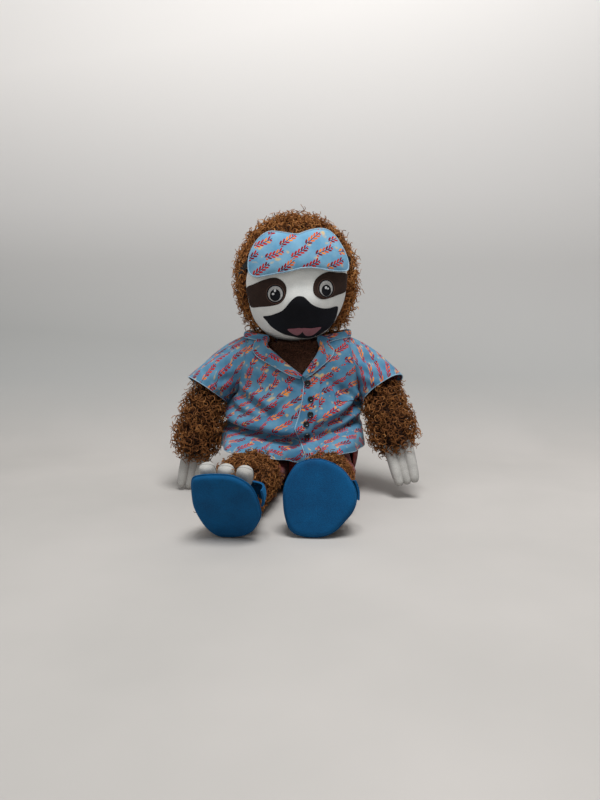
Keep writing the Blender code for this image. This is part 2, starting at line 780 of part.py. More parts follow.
def leg_loops(side, grow=0):
    """Rings from the ball at the hip to the flat of the foot, in the hip's frame."""
    loops = []
    for angle in HIP_ANGLES:
        size = HIP_RADIUS * math.cos(angle) + grow
        centre = Vector((0, -HIP_RADIUS * math.sin(angle), 0))
        loops.append(oval(centre, Vector((size, 0, 0)), Vector((0, 0, size)), LEG_SIDES))
    for along, girth in LEG_SHARES:
        radius = LEG_RADIUS * girth
        size = radius + grow
        centre = Vector((0, -LEG_LENGTH * along, radius - HIP_RADIUS))
        loops.append(oval(centre, Vector((size, 0, 0)), Vector((0, 0, size)), LEG_SIDES))
    middle, pitch, lift = foot_frame(side)
    for behind, width, height, tilt in FOOT_SHARES:
        up = turn(pitch * tilt, "X").to_3x3() @ Vector((0, 0, 1))
        half = FOOT_HALF_HEIGHT * height
        back = FOOT_DEPTH * behind - (grow if behind == 0 else 0)
        heel = Vector((0, back - LEG_LENGTH, LEG_FLOOR + lift * tilt - HIP_HEIGHT))
        across = Vector((FOOT_HALF_WIDTH * width + grow, 0, 0))
        loops.append(oval(heel + up * half, across, up * (half + grow), LEG_SIDES))
    return loops


def make_leg(side, hip, foot):
    outer = leg_loops(side)
    inner = leg_loops(side, -SKIN)
    solid(f"leg_{side}_fur", inner[::-1] + outer, "fur", hip)
    stuffing = leg_loops(side, -SKIN - FILLING_GAP)
    solid(f"leg_{side}_stuffing", stuffing[1:], "filling", hip)
    rings = []
    clear = HIP_RADIUS + SHORTS_LEG_CLEARANCE
    ends = (SHORTS_LEG_START, SHORTS_LEG_START + SHORTS_LEG_LENGTH)
    for radius, order in ((clear, ends), (clear + SHORTS_CLOTH, ends[::-1])):
        for along in order:
            centre = Vector((0, -along, 0))
            rings.append(oval(centre, Vector((radius, 0, 0)), Vector((0, 0, radius)), LEG_SIDES))
    solid(f"shorts_leg_{side}", rings, "shorts", hip, ring=True)
    instep = solid(f"leg_{side}_end", leg_loops(side, GAP), parent=hip)
    for step in range(CLAW_COUNT):
        x = (step - (CLAW_COUNT - 1) / 2) * FOOT_CLAW_PITCH
        root = Vector((x, FOOT_CLAW_BEHIND, FOOT_CLAW_LOW))
        length = FOOT_CLAW_HIGH - FOOT_CLAW_LOW
        loops = claw_loops(root, Vector((0, 0, 1)), FOOT_CLAW_RADIUS, length)
        cut(solid(f"foot_claw_{side}_{step + 1}", loops, "claw", foot), instep)


# Slippers

def sole_loop(behind, inset):
    """The sole's outline: wide at the toes and drawn in at the heel."""
    loop = []
    for step in range(SOLE_SIDES):
        angle = FULL_TURN * step / SOLE_SIDES
        rise = math.sin(angle)
        narrow = 1 - (1 - SOLE_HEEL_SHARE) * (1 - rise) / 2
        x = (SOLE_HALF_WIDTH - inset) * math.cos(angle) * narrow
        loop.append(Vector((x, -behind, (SOLE_HALF_HEIGHT - inset) * rise)))
    return loop


def strap_path(grow):
    """Half way round the foot, from one edge of the sole to the other."""
    path = []
    for step in range(STRAP_POINTS + 1):
        angle = math.pi * step / STRAP_POINTS
        cosine = math.cos(angle)
        sine = math.sin(angle)
        x = (STRAP_HALF_WIDTH + grow) * math.copysign(abs(cosine) ** (2 / STRAP_POWER), cosine)
        y = (STRAP_DEPTH + grow) * abs(sine) ** (2 / STRAP_POWER)
        path.append((x, max(y, GAP)))
    return path


def make_slipper(side, slipper):
    faces = ((FACET_GAP, 0), (SOLE_THICKNESS - SOLE_EDGE, 0), (SOLE_THICKNESS, SOLE_EDGE))
    solid(f"slipper_sole_{side}", [sole_loop(*face) for face in faces], "slipper", slipper)
    grids = []
    for grow in (0, STRAP_THICKNESS):
        path = strap_path(grow)
        heights = (STRAP_LOW, STRAP_LOW + STRAP_WIDTH)
        grids.append([[Vector((x, y, z)) for x, y in path] for z in heights])
    slab(f"slipper_strap_{side}", *grids, "slipper", slipper)


# Shirt

def hem_height(angle):
    return float(np.interp(abs(angle), HEM_ANGLES, HEM_HEIGHTS))


def fold(share, angle):
    """How far the cloth stands out in folds: most at the hem, none at the top."""
    wave = (1 + math.cos(SHIRT_FOLDS * angle)) / 2
    return SHIRT_FOLD * (1 - share) ** 2 * wave


def front_edge(height):
    """Angle of a front panel's edge: it falls back above the bottom of the V."""
    rise = (height - SHIRT_V_BOTTOM) / (TORSO_HEIGHT - SHIRT_V_BOTTOM)
    return SHIRT_V_ANGLE * max(0, rise)


def shirt_heights(low):
    """Rows from the hem up: above the straight part they follow the torso's own rings."""
    rings = [TORSO_HEIGHT * row[0] for row in TORSO_SHARES] + [SHIRT_V_BOTTOM]
    above = sorted(height for height in rings if height > SHIRT_STRAIGHT + ROW_SPACING)
    return [low, (low + SHIRT_STRAIGHT) / 2, SHIRT_STRAIGHT] + above


def hem_share(height, low):
    return (height - low) / (TORSO_HEIGHT - low)


def shirt_grid(first, last, columns, grow, front=None):
    """Points of a shirt panel between two angles. The front edge follows the V."""
    grid = []
    for number in range(len(shirt_heights(0))):
        row = []
        for column in range(columns + 1):
            along = column / columns
            angle = first + (last - first) * along
            low = hem_height(min(abs(angle), FULL_TURN - abs(angle)))
            height = shirt_heights(low)[number]
            share = hem_share(height, low)
            if front == "first":
                angle += front_edge(height) * (1 - along)
            if front == "last":
                angle -= front_edge(height) * along
            row.append(torso_point(height, angle, grow + fold(share, angle)))
        grid.append(row)
    return grid


def trim_grids(low, high, first, last, columns, lift):
    """Grids of a strip sewn on the shirt, between two heights and two angles."""
    grids = []
    start = SHIRT_CLEARANCE + SHIRT_CLOTH + lift
    for grow in (start, start + TRIM_CLOTH):
        grid = []
        for row in range(TRIM_ROWS + 1):
            height = low + (high - low) * row / TRIM_ROWS
            share = hem_share(height, hem_height(first))
            line = []
            for column in range(columns + 1):
                angle = first + (last - first) * column / columns
                line.append(torso_point(height, angle, grow + fold(share, angle)))
            grid.append(line)
        grids.append(grid)
    return grids


def make_shirt(frames):
    side_angle = QUARTER_TURN
    panels = (
        ("shirt_front_left", SHIRT_EDGE_ANGLE, side_angle - SHIRT_SEAM, FRONT_COLUMNS, "first"),
        ("shirt_back", side_angle, 3 * side_angle, BACK_COLUMNS, None),
        ("shirt_front_right", SHIRT_SEAM - side_angle, SHIRT_EDGE_ANGLE - SHIRT_SEAM, FRONT_COLUMNS, "last"),
    )
    for name, first, last, columns, front in panels:
        inner = shirt_grid(first, last, columns, SHIRT_CLEARANCE, front)
        outer = shirt_grid(first, last, columns, SHIRT_CLEARANCE + SHIRT_CLOTH, front)
        panel = slab(name, inner, outer, "shirt")
        for side in SIDES:
            cut(panel, shoulder_block(side, 0, frames["shoulders"]))
    make_collar()
    placket = trim_grids(PLACKET_LOW, PLACKET_HIGH, PLACKET_FROM, PLACKET_TO, PLACKET_COLUMNS, FACET_GAP)
    slab("placket", *placket, "shirt")
    pocket = trim_grids(POCKET_LOW, POCKET_HIGH, POCKET_FROM, POCKET_TO, POCKET_COLUMNS, FACET_GAP)
    slab("pocket", *pocket, "shirt")
    make_buttons()


def make_collar():
    """A band that stands on the shirt's neck edge, flares outwards and is lowest in front."""
    grids = []
    for grow in (SHIRT_CLEARANCE, SHIRT_CLEARANCE + SHIRT_CLOTH):
        grid = []
        for rise, flare in ((0, 0), (COLLAR_RISE, COLLAR_FLARE)):
            row = []
            for column in range(COLLAR_COLUMNS + 1):
                along = column / COLLAR_COLUMNS
                angle = COLLAR_ANGLE + (FULL_TURN - 2 * COLLAR_ANGLE) * along
                back = (1 - (2 * along - 1) ** 2) ** COLLAR_POWER
                share = COLLAR_FRONT_SHARE + (1 - COLLAR_FRONT_SHARE) * back
                point = torso_point(TORSO_HEIGHT, angle, grow + flare * share)
                row.append(point + Vector((0, 0, GAP + rise * share)))
            grid.append(row)
        grids.append(grid)
    slab("collar", *grids, "shirt")


def make_buttons():
    """Buttons down the placket, each lying on the cloth."""
    lift = SHIRT_CLEARANCE + SHIRT_CLOTH + FACET_GAP + TRIM_CLOTH + FACET_GAP
    for number, place in enumerate(BUTTON_SHARES, start=1):
        height = PLACKET_LOW + (PLACKET_HIGH - PLACKET_LOW) * place
        share = hem_share(height, hem_height(BUTTON_ANGLE))
        grow = lift + fold(share, BUTTON_ANGLE)
        seat = torso_point(height, BUTTON_ANGLE, grow)
        above = torso_point(height + BUTTON_RADIUS, BUTTON_ANGLE, grow)
        below = torso_point(height - BUTTON_RADIUS, BUTTON_ANGLE, grow)
        across = Vector((math.cos(BUTTON_ANGLE), math.sin(BUTTON_ANGLE), 0))
        out = across.cross(above - below).normalized()
        up = out.cross(across)
        frame = Matrix((across, out, up)).transposed().to_4x4()
        centre = empty(f"button_place_{number}", seat, frame)
        loops = []
        for rise, inset in ((0, 0), (BUTTON_THICKNESS - GAP, 0), (BUTTON_THICKNESS, GAP)):
            size = BUTTON_RADIUS - inset
            middle = Vector((0, rise, 0))
            loops.append(oval(middle, Vector((size, 0, 0)), Vector((0, 0, size)), BUTTON_SIDES))
        solid(f"button_{number}", loops, "button", centre)


# Shorts

def make_shorts_seat(frames):
    top = SHORTS_TOP
    outer = torso_loops(0, top, SHORTS_CLEARANCE + SHORTS_CLOTH)[::-1]
    inner = torso_loops(SHORTS_CLOTH, top, SHORTS_CLEARANCE)[::-1]
    seat = solid("shorts_seat", inner[::-1] + outer, "shorts")
    for side in SIDES:
        cut(seat, leg_way(side, 0, frames["hips"]))


def make_frames():
    """The joints' frames, as empties."""
    neck = empty("neck_turn", (NECK_SIDEWAYS, 0, NECK_HEIGHT))
    head = empty("head_nod", (0, 0, 0), turn(HEAD_YAW, "Z") @ turn(HEAD_ROLL, "Y"), neck)
    mask = empty("mask_hinge", head_centre(), parent=head)
    shoulders = {}
    hips = {}
    feet = {}
    slippers = {}
    for side, sign in SIDES.items():
        lean = turn(-sign * SHOULDER_TILT, "Y") @ turn(-ARM_SWING[side], "X")
        shoulders[side] = empty(f"shoulder_{side}", (sign * SHOULDER_X, 0, SHOULDER_Z), lean)
        place = (sign * HIP_X, -HIP_FORWARD, HIP_HEIGHT)
        hips[side] = empty(f"hip_{side}", place, turn(LEG_YAW[side], "Z"))
        middle, pitch, lift = foot_frame(side)
        rotation = turn(pitch, "X") @ turn(FOOT_ROLL[side], "Y")
        feet[side] = empty(f"foot_{side}", middle, rotation, hips[side])
        slippers[side] = empty(f"slipper_{side}", (0, 0, SLIPPER_LIFT[side]), parent=feet[side])
    return {
        "neck": neck, "head": head, "mask": mask, "shoulders": shoulders,
        "hips": hips, "feet": feet, "slippers": slippers,
    }


def main():
    clear_scene()
    make_materials()
    frames = make_frames()
    make_torso(frames)
    make_neck(frames["neck"])
    make_head(frames["head"])
    make_face(frames["head"])
    make_mask(frames["mask"])
    for side in SIDES:
        make_arm(side, frames["shoulders"][side])
        make_leg(side, frames["hips"][side], frames["feet"][side])
        make_slipper(side, frames["slippers"][side])
    make_shirt(frames)
    make_shorts_seat(frames)


main()
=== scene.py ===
"""Looks of a seated plush sloth, dressed on its CAD frame.

Metres, in the CAD frame: +Z up, the sloth faces -Y, and left is its own, so left is +X.
"""

import itertools
import math

import bmesh
import bpy
import numpy as np
from mathutils import Matrix, Vector
from mathutils.bvhtree import BVHTree


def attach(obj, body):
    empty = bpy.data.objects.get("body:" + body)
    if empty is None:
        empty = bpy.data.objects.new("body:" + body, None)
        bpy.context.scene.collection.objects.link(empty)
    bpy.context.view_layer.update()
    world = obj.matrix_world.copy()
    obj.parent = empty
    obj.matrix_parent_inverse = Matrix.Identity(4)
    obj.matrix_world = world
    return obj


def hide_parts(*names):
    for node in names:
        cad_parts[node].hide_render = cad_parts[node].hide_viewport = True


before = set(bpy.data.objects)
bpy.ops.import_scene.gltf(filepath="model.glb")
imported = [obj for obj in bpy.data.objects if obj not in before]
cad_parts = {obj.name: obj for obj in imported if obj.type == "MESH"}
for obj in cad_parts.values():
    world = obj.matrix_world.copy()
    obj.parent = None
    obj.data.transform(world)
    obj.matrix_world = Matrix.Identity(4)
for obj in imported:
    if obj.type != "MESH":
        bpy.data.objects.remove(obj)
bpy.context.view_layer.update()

FULL_TURN = 2 * math.pi
QUARTER_TURN = math.pi / 2
TINY = 1e-12
SIDES = {"left": 1, "right": -1}

# Camera, as the photograph was taken
CAMERA_PLACE = Vector((0.003, -0.936, 0.231))
CAMERA_PITCH = math.radians(6.85)
CAMERA_FORWARD = Vector((0, math.cos(CAMERA_PITCH), -math.sin(CAMERA_PITCH)))
CAMERA_UP = Vector((0, math.sin(CAMERA_PITCH), math.cos(CAMERA_PITCH)))
CAMERA_CLIP = (0.05, 20)
FOCAL_PIXELS = 666
FRAME_SIZE = (600, 800)
SENSOR = 36


def rotation(degrees, axis):
    return Matrix.Rotation(math.radians(degrees), 4, axis)


# Frames of the head's middle, the shoulders, the hips and the slippers, as in the CAD
NECK = (0.003, 0, 0.208)
NECK_TO_HEAD = (0, -0.010, 0.081)
HEAD = Matrix.Translation(NECK) @ rotation(3, "Z") @ rotation(-4.5, "Y") @ Matrix.Translation(NECK_TO_HEAD)
FACE_HALF_WIDTH = 0.086
FACE_RADIUS = 0.088
SHOULDER_X = 0.072
SHOULDER_Z = 0.172
SHOULDER_TILT = 12
ARM_SWING = {"left": 30, "right": 14}
ARM_REACH = 0.041
ARM_LENGTH = 0.144
HIP_PLACE = Vector((0.042, -0.036, 0.0345))
HIP_RADIUS = 0.030
WAY_RADIUS = 0.0322
LEG_YAW = {"left": -4.6, "right": -8.6}
LEG_LENGTH = 0.209
LEG_FLOOR = 0.0045
FOOT_PITCH = {"left": -12, "right": 24}
FOOT_ROLL = {"left": -10, "right": 4}
FOOT_HALF_HEIGHT = 0.038
SOLE_THICKNESS = 0.008
SLIPPER_LIFT = {"left": 0.0025, "right": 0}
SHOULDERS, HIPS, FEET, SLIPPERS = {}, {}, {}, {}
for side, sign in SIDES.items():
    place = Matrix.Translation((sign * SHOULDER_X, 0, SHOULDER_Z))
    SHOULDERS[side] = place @ rotation(-SHOULDER_TILT * sign, "Y") @ rotation(-ARM_SWING[side], "X")
    place = Matrix.Translation((sign * HIP_PLACE.x, HIP_PLACE.y, HIP_PLACE.z))
    HIPS[side] = place @ rotation(LEG_YAW[side], "Z")
    tilt = rotation(FOOT_PITCH[side], "X")
    lift = SOLE_THICKNESS * max(0, math.sin(math.radians(FOOT_PITCH[side])))
    heel = Vector((0, -LEG_LENGTH, LEG_FLOOR + lift - HIP_PLACE.z))
    middle = heel + tilt.to_3x3() @ Vector((0, 0, FOOT_HALF_HEIGHT))
    FEET[side] = HIPS[side] @ Matrix.Translation(middle) @ tilt @ rotation(FOOT_ROLL[side], "Y")
    SLIPPERS[side] = FEET[side] @ Matrix.Translation((0, 0, SLIPPER_LIFT[side]))

# Torso's outline, as in the CAD: share of its height, half width and half depth
TORSO_HEIGHT = 0.200
TORSO_HALF_WIDTH = 0.085
TORSO_HALF_DEPTH = 0.063
TORSO_LEVELS = (0.00, 0.08, 0.22, 0.45, 0.65, 0.82, 0.93, 1.00)
TORSO_WIDTHS = (0.74, 0.93, 1.00, 0.98, 0.95, 0.92, 0.84, 0.57)
TORSO_DEPTHS = (0.74, 0.93, 1.00, 0.98, 0.94, 0.88, 0.78, 0.64)
TORSO_BLUR = (-0.05, -0.025, 0, 0.025, 0.05)


# Pixels of the photograph

def ray(px, py):
    """Direction in which the camera sees a pixel."""
    across = (px - FRAME_SIZE[0] / 2) / FOCAL_PIXELS
    rise = (FRAME_SIZE[1] / 2 - py) / FOCAL_PIXELS
    return (CAMERA_FORWARD + Vector((across, 0, 0)) + CAMERA_UP * rise).normalized()


def on_plane(px, py, point, normal):
    along = ray(px, py)
    return CAMERA_PLACE + along * ((point - CAMERA_PLACE).dot(normal) / along.dot(normal))


def on_dome(px, py, grow=0):
    """Sideways and up in the head's frame, where a pixel shows the face's dome."""
    inverse = HEAD.inverted()
    axes = (FACE_HALF_WIDTH + grow, FACE_RADIUS + grow, FACE_RADIUS + grow)
    origin = inverse @ CAMERA_PLACE
    along = inverse.to_3x3() @ ray(px, py)
    start = Vector([value / axis for value, axis in zip(origin, axes)])
    step = Vector([value / axis for value, axis in zip(along, axes)])
    half = start.dot(step)
    square = step.dot(step)
    root = math.sqrt(max(0, half * half - square * (start.dot(start) - 1)))
    hit = origin + along * ((-half - root) / square)
    return hit.x, hit.z


def traced(pixels, grow=0):
    return [on_dome(px, py, grow) for px, py in pixels]


def smooth_loop(points, count):
    """A closed curve through points, as evenly spaced points."""
    points = np.array(points, float)
    before, after, later = (np.roll(points, shift, 0) for shift in (1, -1, -2))
    dense = []
    for share in np.linspace(0, 1, 12, endpoint=False):
        dense.append((
            2 * points + (after - before) * share
            + (2 * before - 5 * points + 4 * after - later) * share ** 2
            + (3 * points - before - 3 * after + later) * share ** 3
        ) / 2)
    line = np.stack(dense, 1).reshape(-1, points.shape[1])
    line = np.concatenate([line, line[:1]])
    steps = np.concatenate([[0], np.cumsum(np.linalg.norm(np.diff(line, axis=0), axis=1))])
    wanted = np.linspace(0, steps[-1], count, endpoint=False)
    return np.stack([np.interp(wanted, steps, column) for column in line.T], 1)


# Arrays and meshes

def stack(*parts):
    """Arrays and numbers side by side, such as the coordinates of points."""
    return np.stack(np.broadcast_arrays(*parts), -1)


def circle(count):
    """Cosines and sines of angles spread evenly round a full turn."""
    angle = FULL_TURN * np.arange(count) / count
    return np.cos(angle), np.sin(angle)


def ball(rings, segments):
    """A unit ball's coordinates, ring by ring: along its axis and both ways across."""
    theta = math.pi * (np.arange(rings)[:, None] + 0.5) / rings
    cosine, sine = circle(segments)
    return np.cos(theta), np.sin(theta) * cosine, np.sin(theta) * sine


def unit(vectors):
    return vectors / np.maximum(np.linalg.norm(vectors, axis=-1, keepdims=True), TINY)


def fade(value, low, high):
    """0 below low, 1 above high and smooth between."""
    share = np.clip((value - low) / (high - low), 0, 1)
    return share * share * (3 - 2 * share)


def placed(matrix, points):
    """Points of a frame, in the world."""
    matrix = np.array(matrix)
    return np.asarray(points) @ matrix[:3, :3].T + matrix[:3, 3]


def scaled(loop, scale):
    """A loop grown or shrunk about its middle."""
    centre = loop.mean(0)
    return centre + (loop - centre) * scale


def quads(rows, columns, flip=False, wrap=False):
    """Faces of a grid of points."""
    row = np.arange(rows - 1)[:, None] * columns
    column = np.arange(columns if wrap else columns - 1)[None, :]
    following = (column + 1) % columns
    corners = [row + column, row + following, row + columns + following, row + columns + column]
    faces = np.stack([corner.ravel() for corner in corners], 1)
    return faces[:, ::-1] if flip else faces


def capped(rings, flip=False):
    """Closed rings of points with a fan at each end: all the points, and the arrays of faces."""
    rings = np.asarray(rings)
    rows, columns = rings.shape[:2]
    points = np.concatenate([*rings, [rings[0].mean(0), rings[-1].mean(0)]])
    here = np.arange(columns)
    after = (here + 1) % columns
    base = (rows - 1) * columns
    count = rows * columns
    blocks = [
        quads(rows, columns, wrap=True),
        stack(after, here, count),
        stack(base + here, base + after, count + 1),
    ]
    return points, [block[:, ::-1] for block in blocks] if flip else blocks


def add_object(name, data):
    obj = bpy.data.objects.new(name, data)
    bpy.context.scene.collection.objects.link(obj)
    return obj


def make_mesh(name, points, blocks, material=None, uv=None, tone=None):
    """A smooth mesh from points and arrays of faces."""
    mesh = bpy.data.meshes.new(name)
    mesh.vertices.add(len(points))
    mesh.vertices.foreach_set("co", np.asarray(points, np.float32).ravel())
    corners = np.concatenate([np.ravel(block) for block in blocks]).astype(np.int32)
    sizes = np.concatenate([np.full(len(block), np.shape(block)[1]) for block in blocks])
    mesh.loops.add(len(corners))
    mesh.loops.foreach_set("vertex_index", corners)
    mesh.polygons.add(len(sizes))
    mesh.polygons.foreach_set("loop_start", (np.cumsum(sizes) - sizes).astype(np.int32))
    mesh.update(calc_edges=True)
    mesh.validate()
    if uv is not None:
        layer = mesh.uv_layers.new(name="cloth")
        layer.data.foreach_set("uv", np.asarray(uv, np.float32)[corners].ravel())
    if tone is not None:
        attribute = mesh.attributes.new("tone", "FLOAT", "POINT")
        attribute.data.foreach_set("value", np.asarray(tone, np.float32).ravel())
    mesh.shade_smooth()
    mesh.set_sharp_from_angle(angle=math.radians(60))
    if material:
        mesh.materials.append(material)
    return add_object(name, mesh)


def make_piece(name, points, blocks, material, body, slot=None, replaces="", fill=None, **layers):
    """A mesh that rides on a body and stands for some nodes; its fill, for stuffing, is not used."""
    obj = make_mesh(name, points, blocks, material, **layers)
    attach(obj, body)
    if replaces:
        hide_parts(*replaces.split())
    return obj


def grid_normals(grid):
    return unit(np.cross(np.gradient(grid, axis=1), np.gradient(grid, axis=0)))


def spans(grid):
    """Distance along the cloth of each point, across and down, as UV."""
    across = np.linalg.norm(np.diff(grid, axis=1), axis=-1)
    down = np.linalg.norm(np.diff(grid, axis=0), axis=-1)
    across = np.concatenate([np.zeros((len(grid), 1)), np.cumsum(across, 1)], 1)
    across = across - across[:, across.shape[1] // 2][:, None]
    down = np.concatenate([np.zeros((1, grid.shape[1])), np.cumsum(down, 0)])
    return across, down


# Thicknesses of the cloths
SHIRT_CLOTH = 0.0012
THIN_CLOTH = 0.0010
COLLAR_CLOTH = 0.0011
SLIPPER_CLOTH = 0.0022


def cloth(name, grid, material, body, replaces, rests_on, thickness=SHIRT_CLOTH, slot="shirt",
          grain=0.0):
    """A sheet of cloth with thickness, from a grid of points on its middle, cut with its grain turned."""
    rows, columns = grid.shape[:2]
    lift = grid_normals(grid) * thickness / 2
    across, down = spans(grid)
    cosine, sine = math.cos(grain), math.sin(grain)
    uv = stack(across * cosine - down * sine, -across * sine - down * cosine).reshape(-1, 2)
    half = rows * columns
    points = np.concatenate([(grid + lift).reshape(-1, 3), (grid - lift).reshape(-1, 3)])
    index = np.arange(half).reshape(rows, columns)
    edge = np.concatenate([index[0, :-1], index[:-1, -1], index[-1, :0:-1], index[:0:-1, 0]])
    after = np.roll(edge, -1)
    rim = stack(edge, edge + half, after + half, after)
    blocks = [quads(rows, columns, flip=True), quads(rows, columns) + half, rim]
    obj = make_piece(name, points, blocks, material, body, slot, replaces, uv=np.concatenate([uv, uv]))
    width = float(np.ptp(across, axis=1).max())
    cells = np.linalg.norm(np.cross(np.diff(grid, axis=1)[:-1], np.diff(grid, axis=0)[:, :-1]), axis=-1)
    rests_on.split()


def tube(name, path, radius, sides, material, body, slot, closed=False):
    """A thin tube along a path: piping, a turned edge, a seam or a stitch."""
    path = np.asarray(path, float)
    tangent = unit(np.roll(path, -1, 0) - np.roll(path, 1, 0) if closed else np.gradient(path, axis=0))
    side = np.zeros_like(path)
    guess = np.cross(tangent[0], (0.31, 0.52, 0.79))
    for step, along in enumerate(tangent):
        guess = unit(guess - along * np.dot(guess, along))
        side[step] = guess
    up = np.cross(tangent, side)
    cosine, sine = circle(sides)
    ring = side[:, None] * cosine[:, None] + up[:, None] * sine[:, None]
    points = (path[:, None] + ring * radius).reshape(-1, 3)
    faces = quads(len(path) + closed, sides, wrap=True) % len(points)
    make_piece(name, points, [faces], material, body, slot)


# Materials

def srgb(red, green, blue):
    """A colour that a picture shows, as the shader's linear one."""
    shares = np.array((red, green, blue)) / 255
    linear = np.where(shares <= 0.04045, shares / 12.92, ((shares + 0.055) / 1.055) ** 2.4)
    return (*[float(value) for value in linear], 1)


class Shader:
    """A material built node by node. Most methods return the new node's output."""

    def __init__(self, name, roughness, sheen=0.0, tint=(255, 255, 255), specular=0.25):
        self.material = bpy.data.materials.new(name)
        self.material.use_nodes = True
        self.tree = self.material.node_tree
        self.surface = self.tree.nodes["Principled BSDF"]
        settings = {
            "Roughness": roughness, "Specular IOR Level": specular, "Sheen Weight": sheen,
            "Sheen Roughness": 0.45, "Sheen Tint": srgb(*tint),
        }
        for key, value in settings.items():
            self.surface.inputs[key].default_value = value

    def node(self, kind, *inputs, output=0, **settings):
        made = self.tree.nodes.new(kind)
        for key, value in settings.items():
            setattr(made, key, value)
        for socket, value in zip(made.inputs, inputs):
            if isinstance(value, bpy.types.NodeSocket):
                self.tree.links.new(value, socket)
            elif value is not None:
                socket.default_value = value
        return made.outputs[output]

    def calc(self, operation, *inputs):
        return self.node("ShaderNodeMath", *inputs, operation=operation)

    def place(self):
        return self.node("ShaderNodeTexCoord", output=3)

    def split(self, vector):
        return self.node("ShaderNodeSeparateXYZ", vector).node.outputs

    def noise(self, vector, scale, detail=2.0):
        return self.node("ShaderNodeTexNoise", vector, None, scale, detail)

    def mix(self, factor, a, b):
        skipped = [None] * 5
        return self.node("ShaderNodeMix", factor, *skipped, a, b, output=2, data_type="RGBA")

    def ramp(self, factor, *stops):
        output = self.node("ShaderNodeValToRGB", factor)
        elements = output.node.color_ramp.elements
        while len(elements) < len(stops):
            elements.new(1)
        for element, (position, colour) in zip(elements, stops):
            element.position = position
            element.color = srgb(*colour)
        return output

    def step(self, value, low, high):
        """0 below low and 1 above high."""
        return self.node("ShaderNodeMapRange", value, low, high, 0.0, 1.0)

    def bump(self, height, distance, strength=1.0):
        output = self.node("ShaderNodeBump")
        output.node.inputs["Strength"].default_value = strength
        output.node.inputs["Distance"].default_value = distance
        self.tree.links.new(height, output.node.inputs["Height"])
        self.tree.links.new(output, self.surface.inputs["Normal"])

    def colour(self, socket):
        self.tree.links.new(socket, self.surface.inputs["Base Color"])
        return self.material


# How deep each surface's relief is
PILE_DEPTH = 0.0006
DEEP_PILE_DEPTH = 0.0009
BACKING_DEPTH = 0.001
WEAVE_DEPTH = 0.0002
STRAND_DEPTH = 0.0003
COTTON_DEPTH = 0.00015
PLAIN_DEPTH = 0.00008
# Distance between threads
FINE_THREAD = 0.0006
COARSE_THREAD = 0.0011


def pile(name, dark, light, sheen=0.3, tint=(255, 255, 255), grain=900.0, patches=60.0, depth=PILE_DEPTH):
    """Short pile, such as velour: soft patches where it lies another way, over a fine grain."""
    shader = Shader(name, 0.9, sheen, tint)
    place = shader.place()
    patch = shader.noise(place, patches, 3.0)
    both = shader.calc("MULTIPLY_ADD", shader.noise(place, grain), 0.45, shader.calc("MULTIPLY", patch, 0.55))
    shader.bump(both, depth)
    return shader.colour(shader.ramp(both, (0.3, dark), (0.68, light)))


def woven(name, dark, light, thread=FINE_THREAD):
    """Plain weave, as two crossed waves of threads."""
    shader = Shader(name, 0.8, 0.15)
    place = shader.place()
    waves = []
    for axis in ((1.0, 0.6, 0.0), (0.0, 0.6, 1.0)):
        along = shader.node("ShaderNodeVectorMath", place, axis, output=1, operation="DOT_PRODUCT")
        waves.append(shader.calc("SINE", shader.calc("MULTIPLY", along, FULL_TURN / thread)))
    shader.bump(shader.calc("MULTIPLY", *waves), WEAVE_DEPTH, 0.5)
    return shader.colour(shader.ramp(shader.noise(place, 45.0, 4.0), (0.3, dark), (0.7, light)))


def fur_material(name, *stops):
    """Long pile with painted shade: dark at its root, where the curls shade one another, and light at its
    tip.
    """
    shader = Shader(name, 0.75, 0.12, (230, 160, 90), specular=0.22)
    tone = shader.node("ShaderNodeAttribute", output=2, attribute_name="tone")
    place = shader.place()
    mixed = shader.calc("MULTIPLY_ADD", shader.noise(place, 55.0, 3.0), 0.3, tone)
    shader.bump(shader.noise(place, 1400.0), STRAND_DEPTH, 0.6)
    return shader.colour(shader.ramp(mixed, *stops))


def plain(name, colour, roughness, specular=0.4):
    shader = Shader(name, roughness, specular=specular)
    fine = shader.noise(shader.place(), 600.0)
    shader.bump(fine, PLAIN_DEPTH)
    shade = tuple(0.82 * value for value in colour)
    return shader.colour(shader.ramp(fine, (0.35, shade), (0.65, colour)))


# The print: each sprig's cell, its half length, its leaves' pitch, size, place and turn, and its stem
SPRIG_CELL = (0.031, 0.0165)
SPRIG_HALF_LENGTH = 0.0115
SPRIG_BEND = 9.0
SPRIG_SHIFT = 0.0003
LEAF_PITCH = 0.0046
LEAF_SIZE = (0.0031, 0.00118)
LEAF_OUT = 0.0023
LEAF_TURN = math.radians(34)
STEM_TAPER = 0.002
STEM_HALF_WIDTHS = (0.00055, 0.0003)


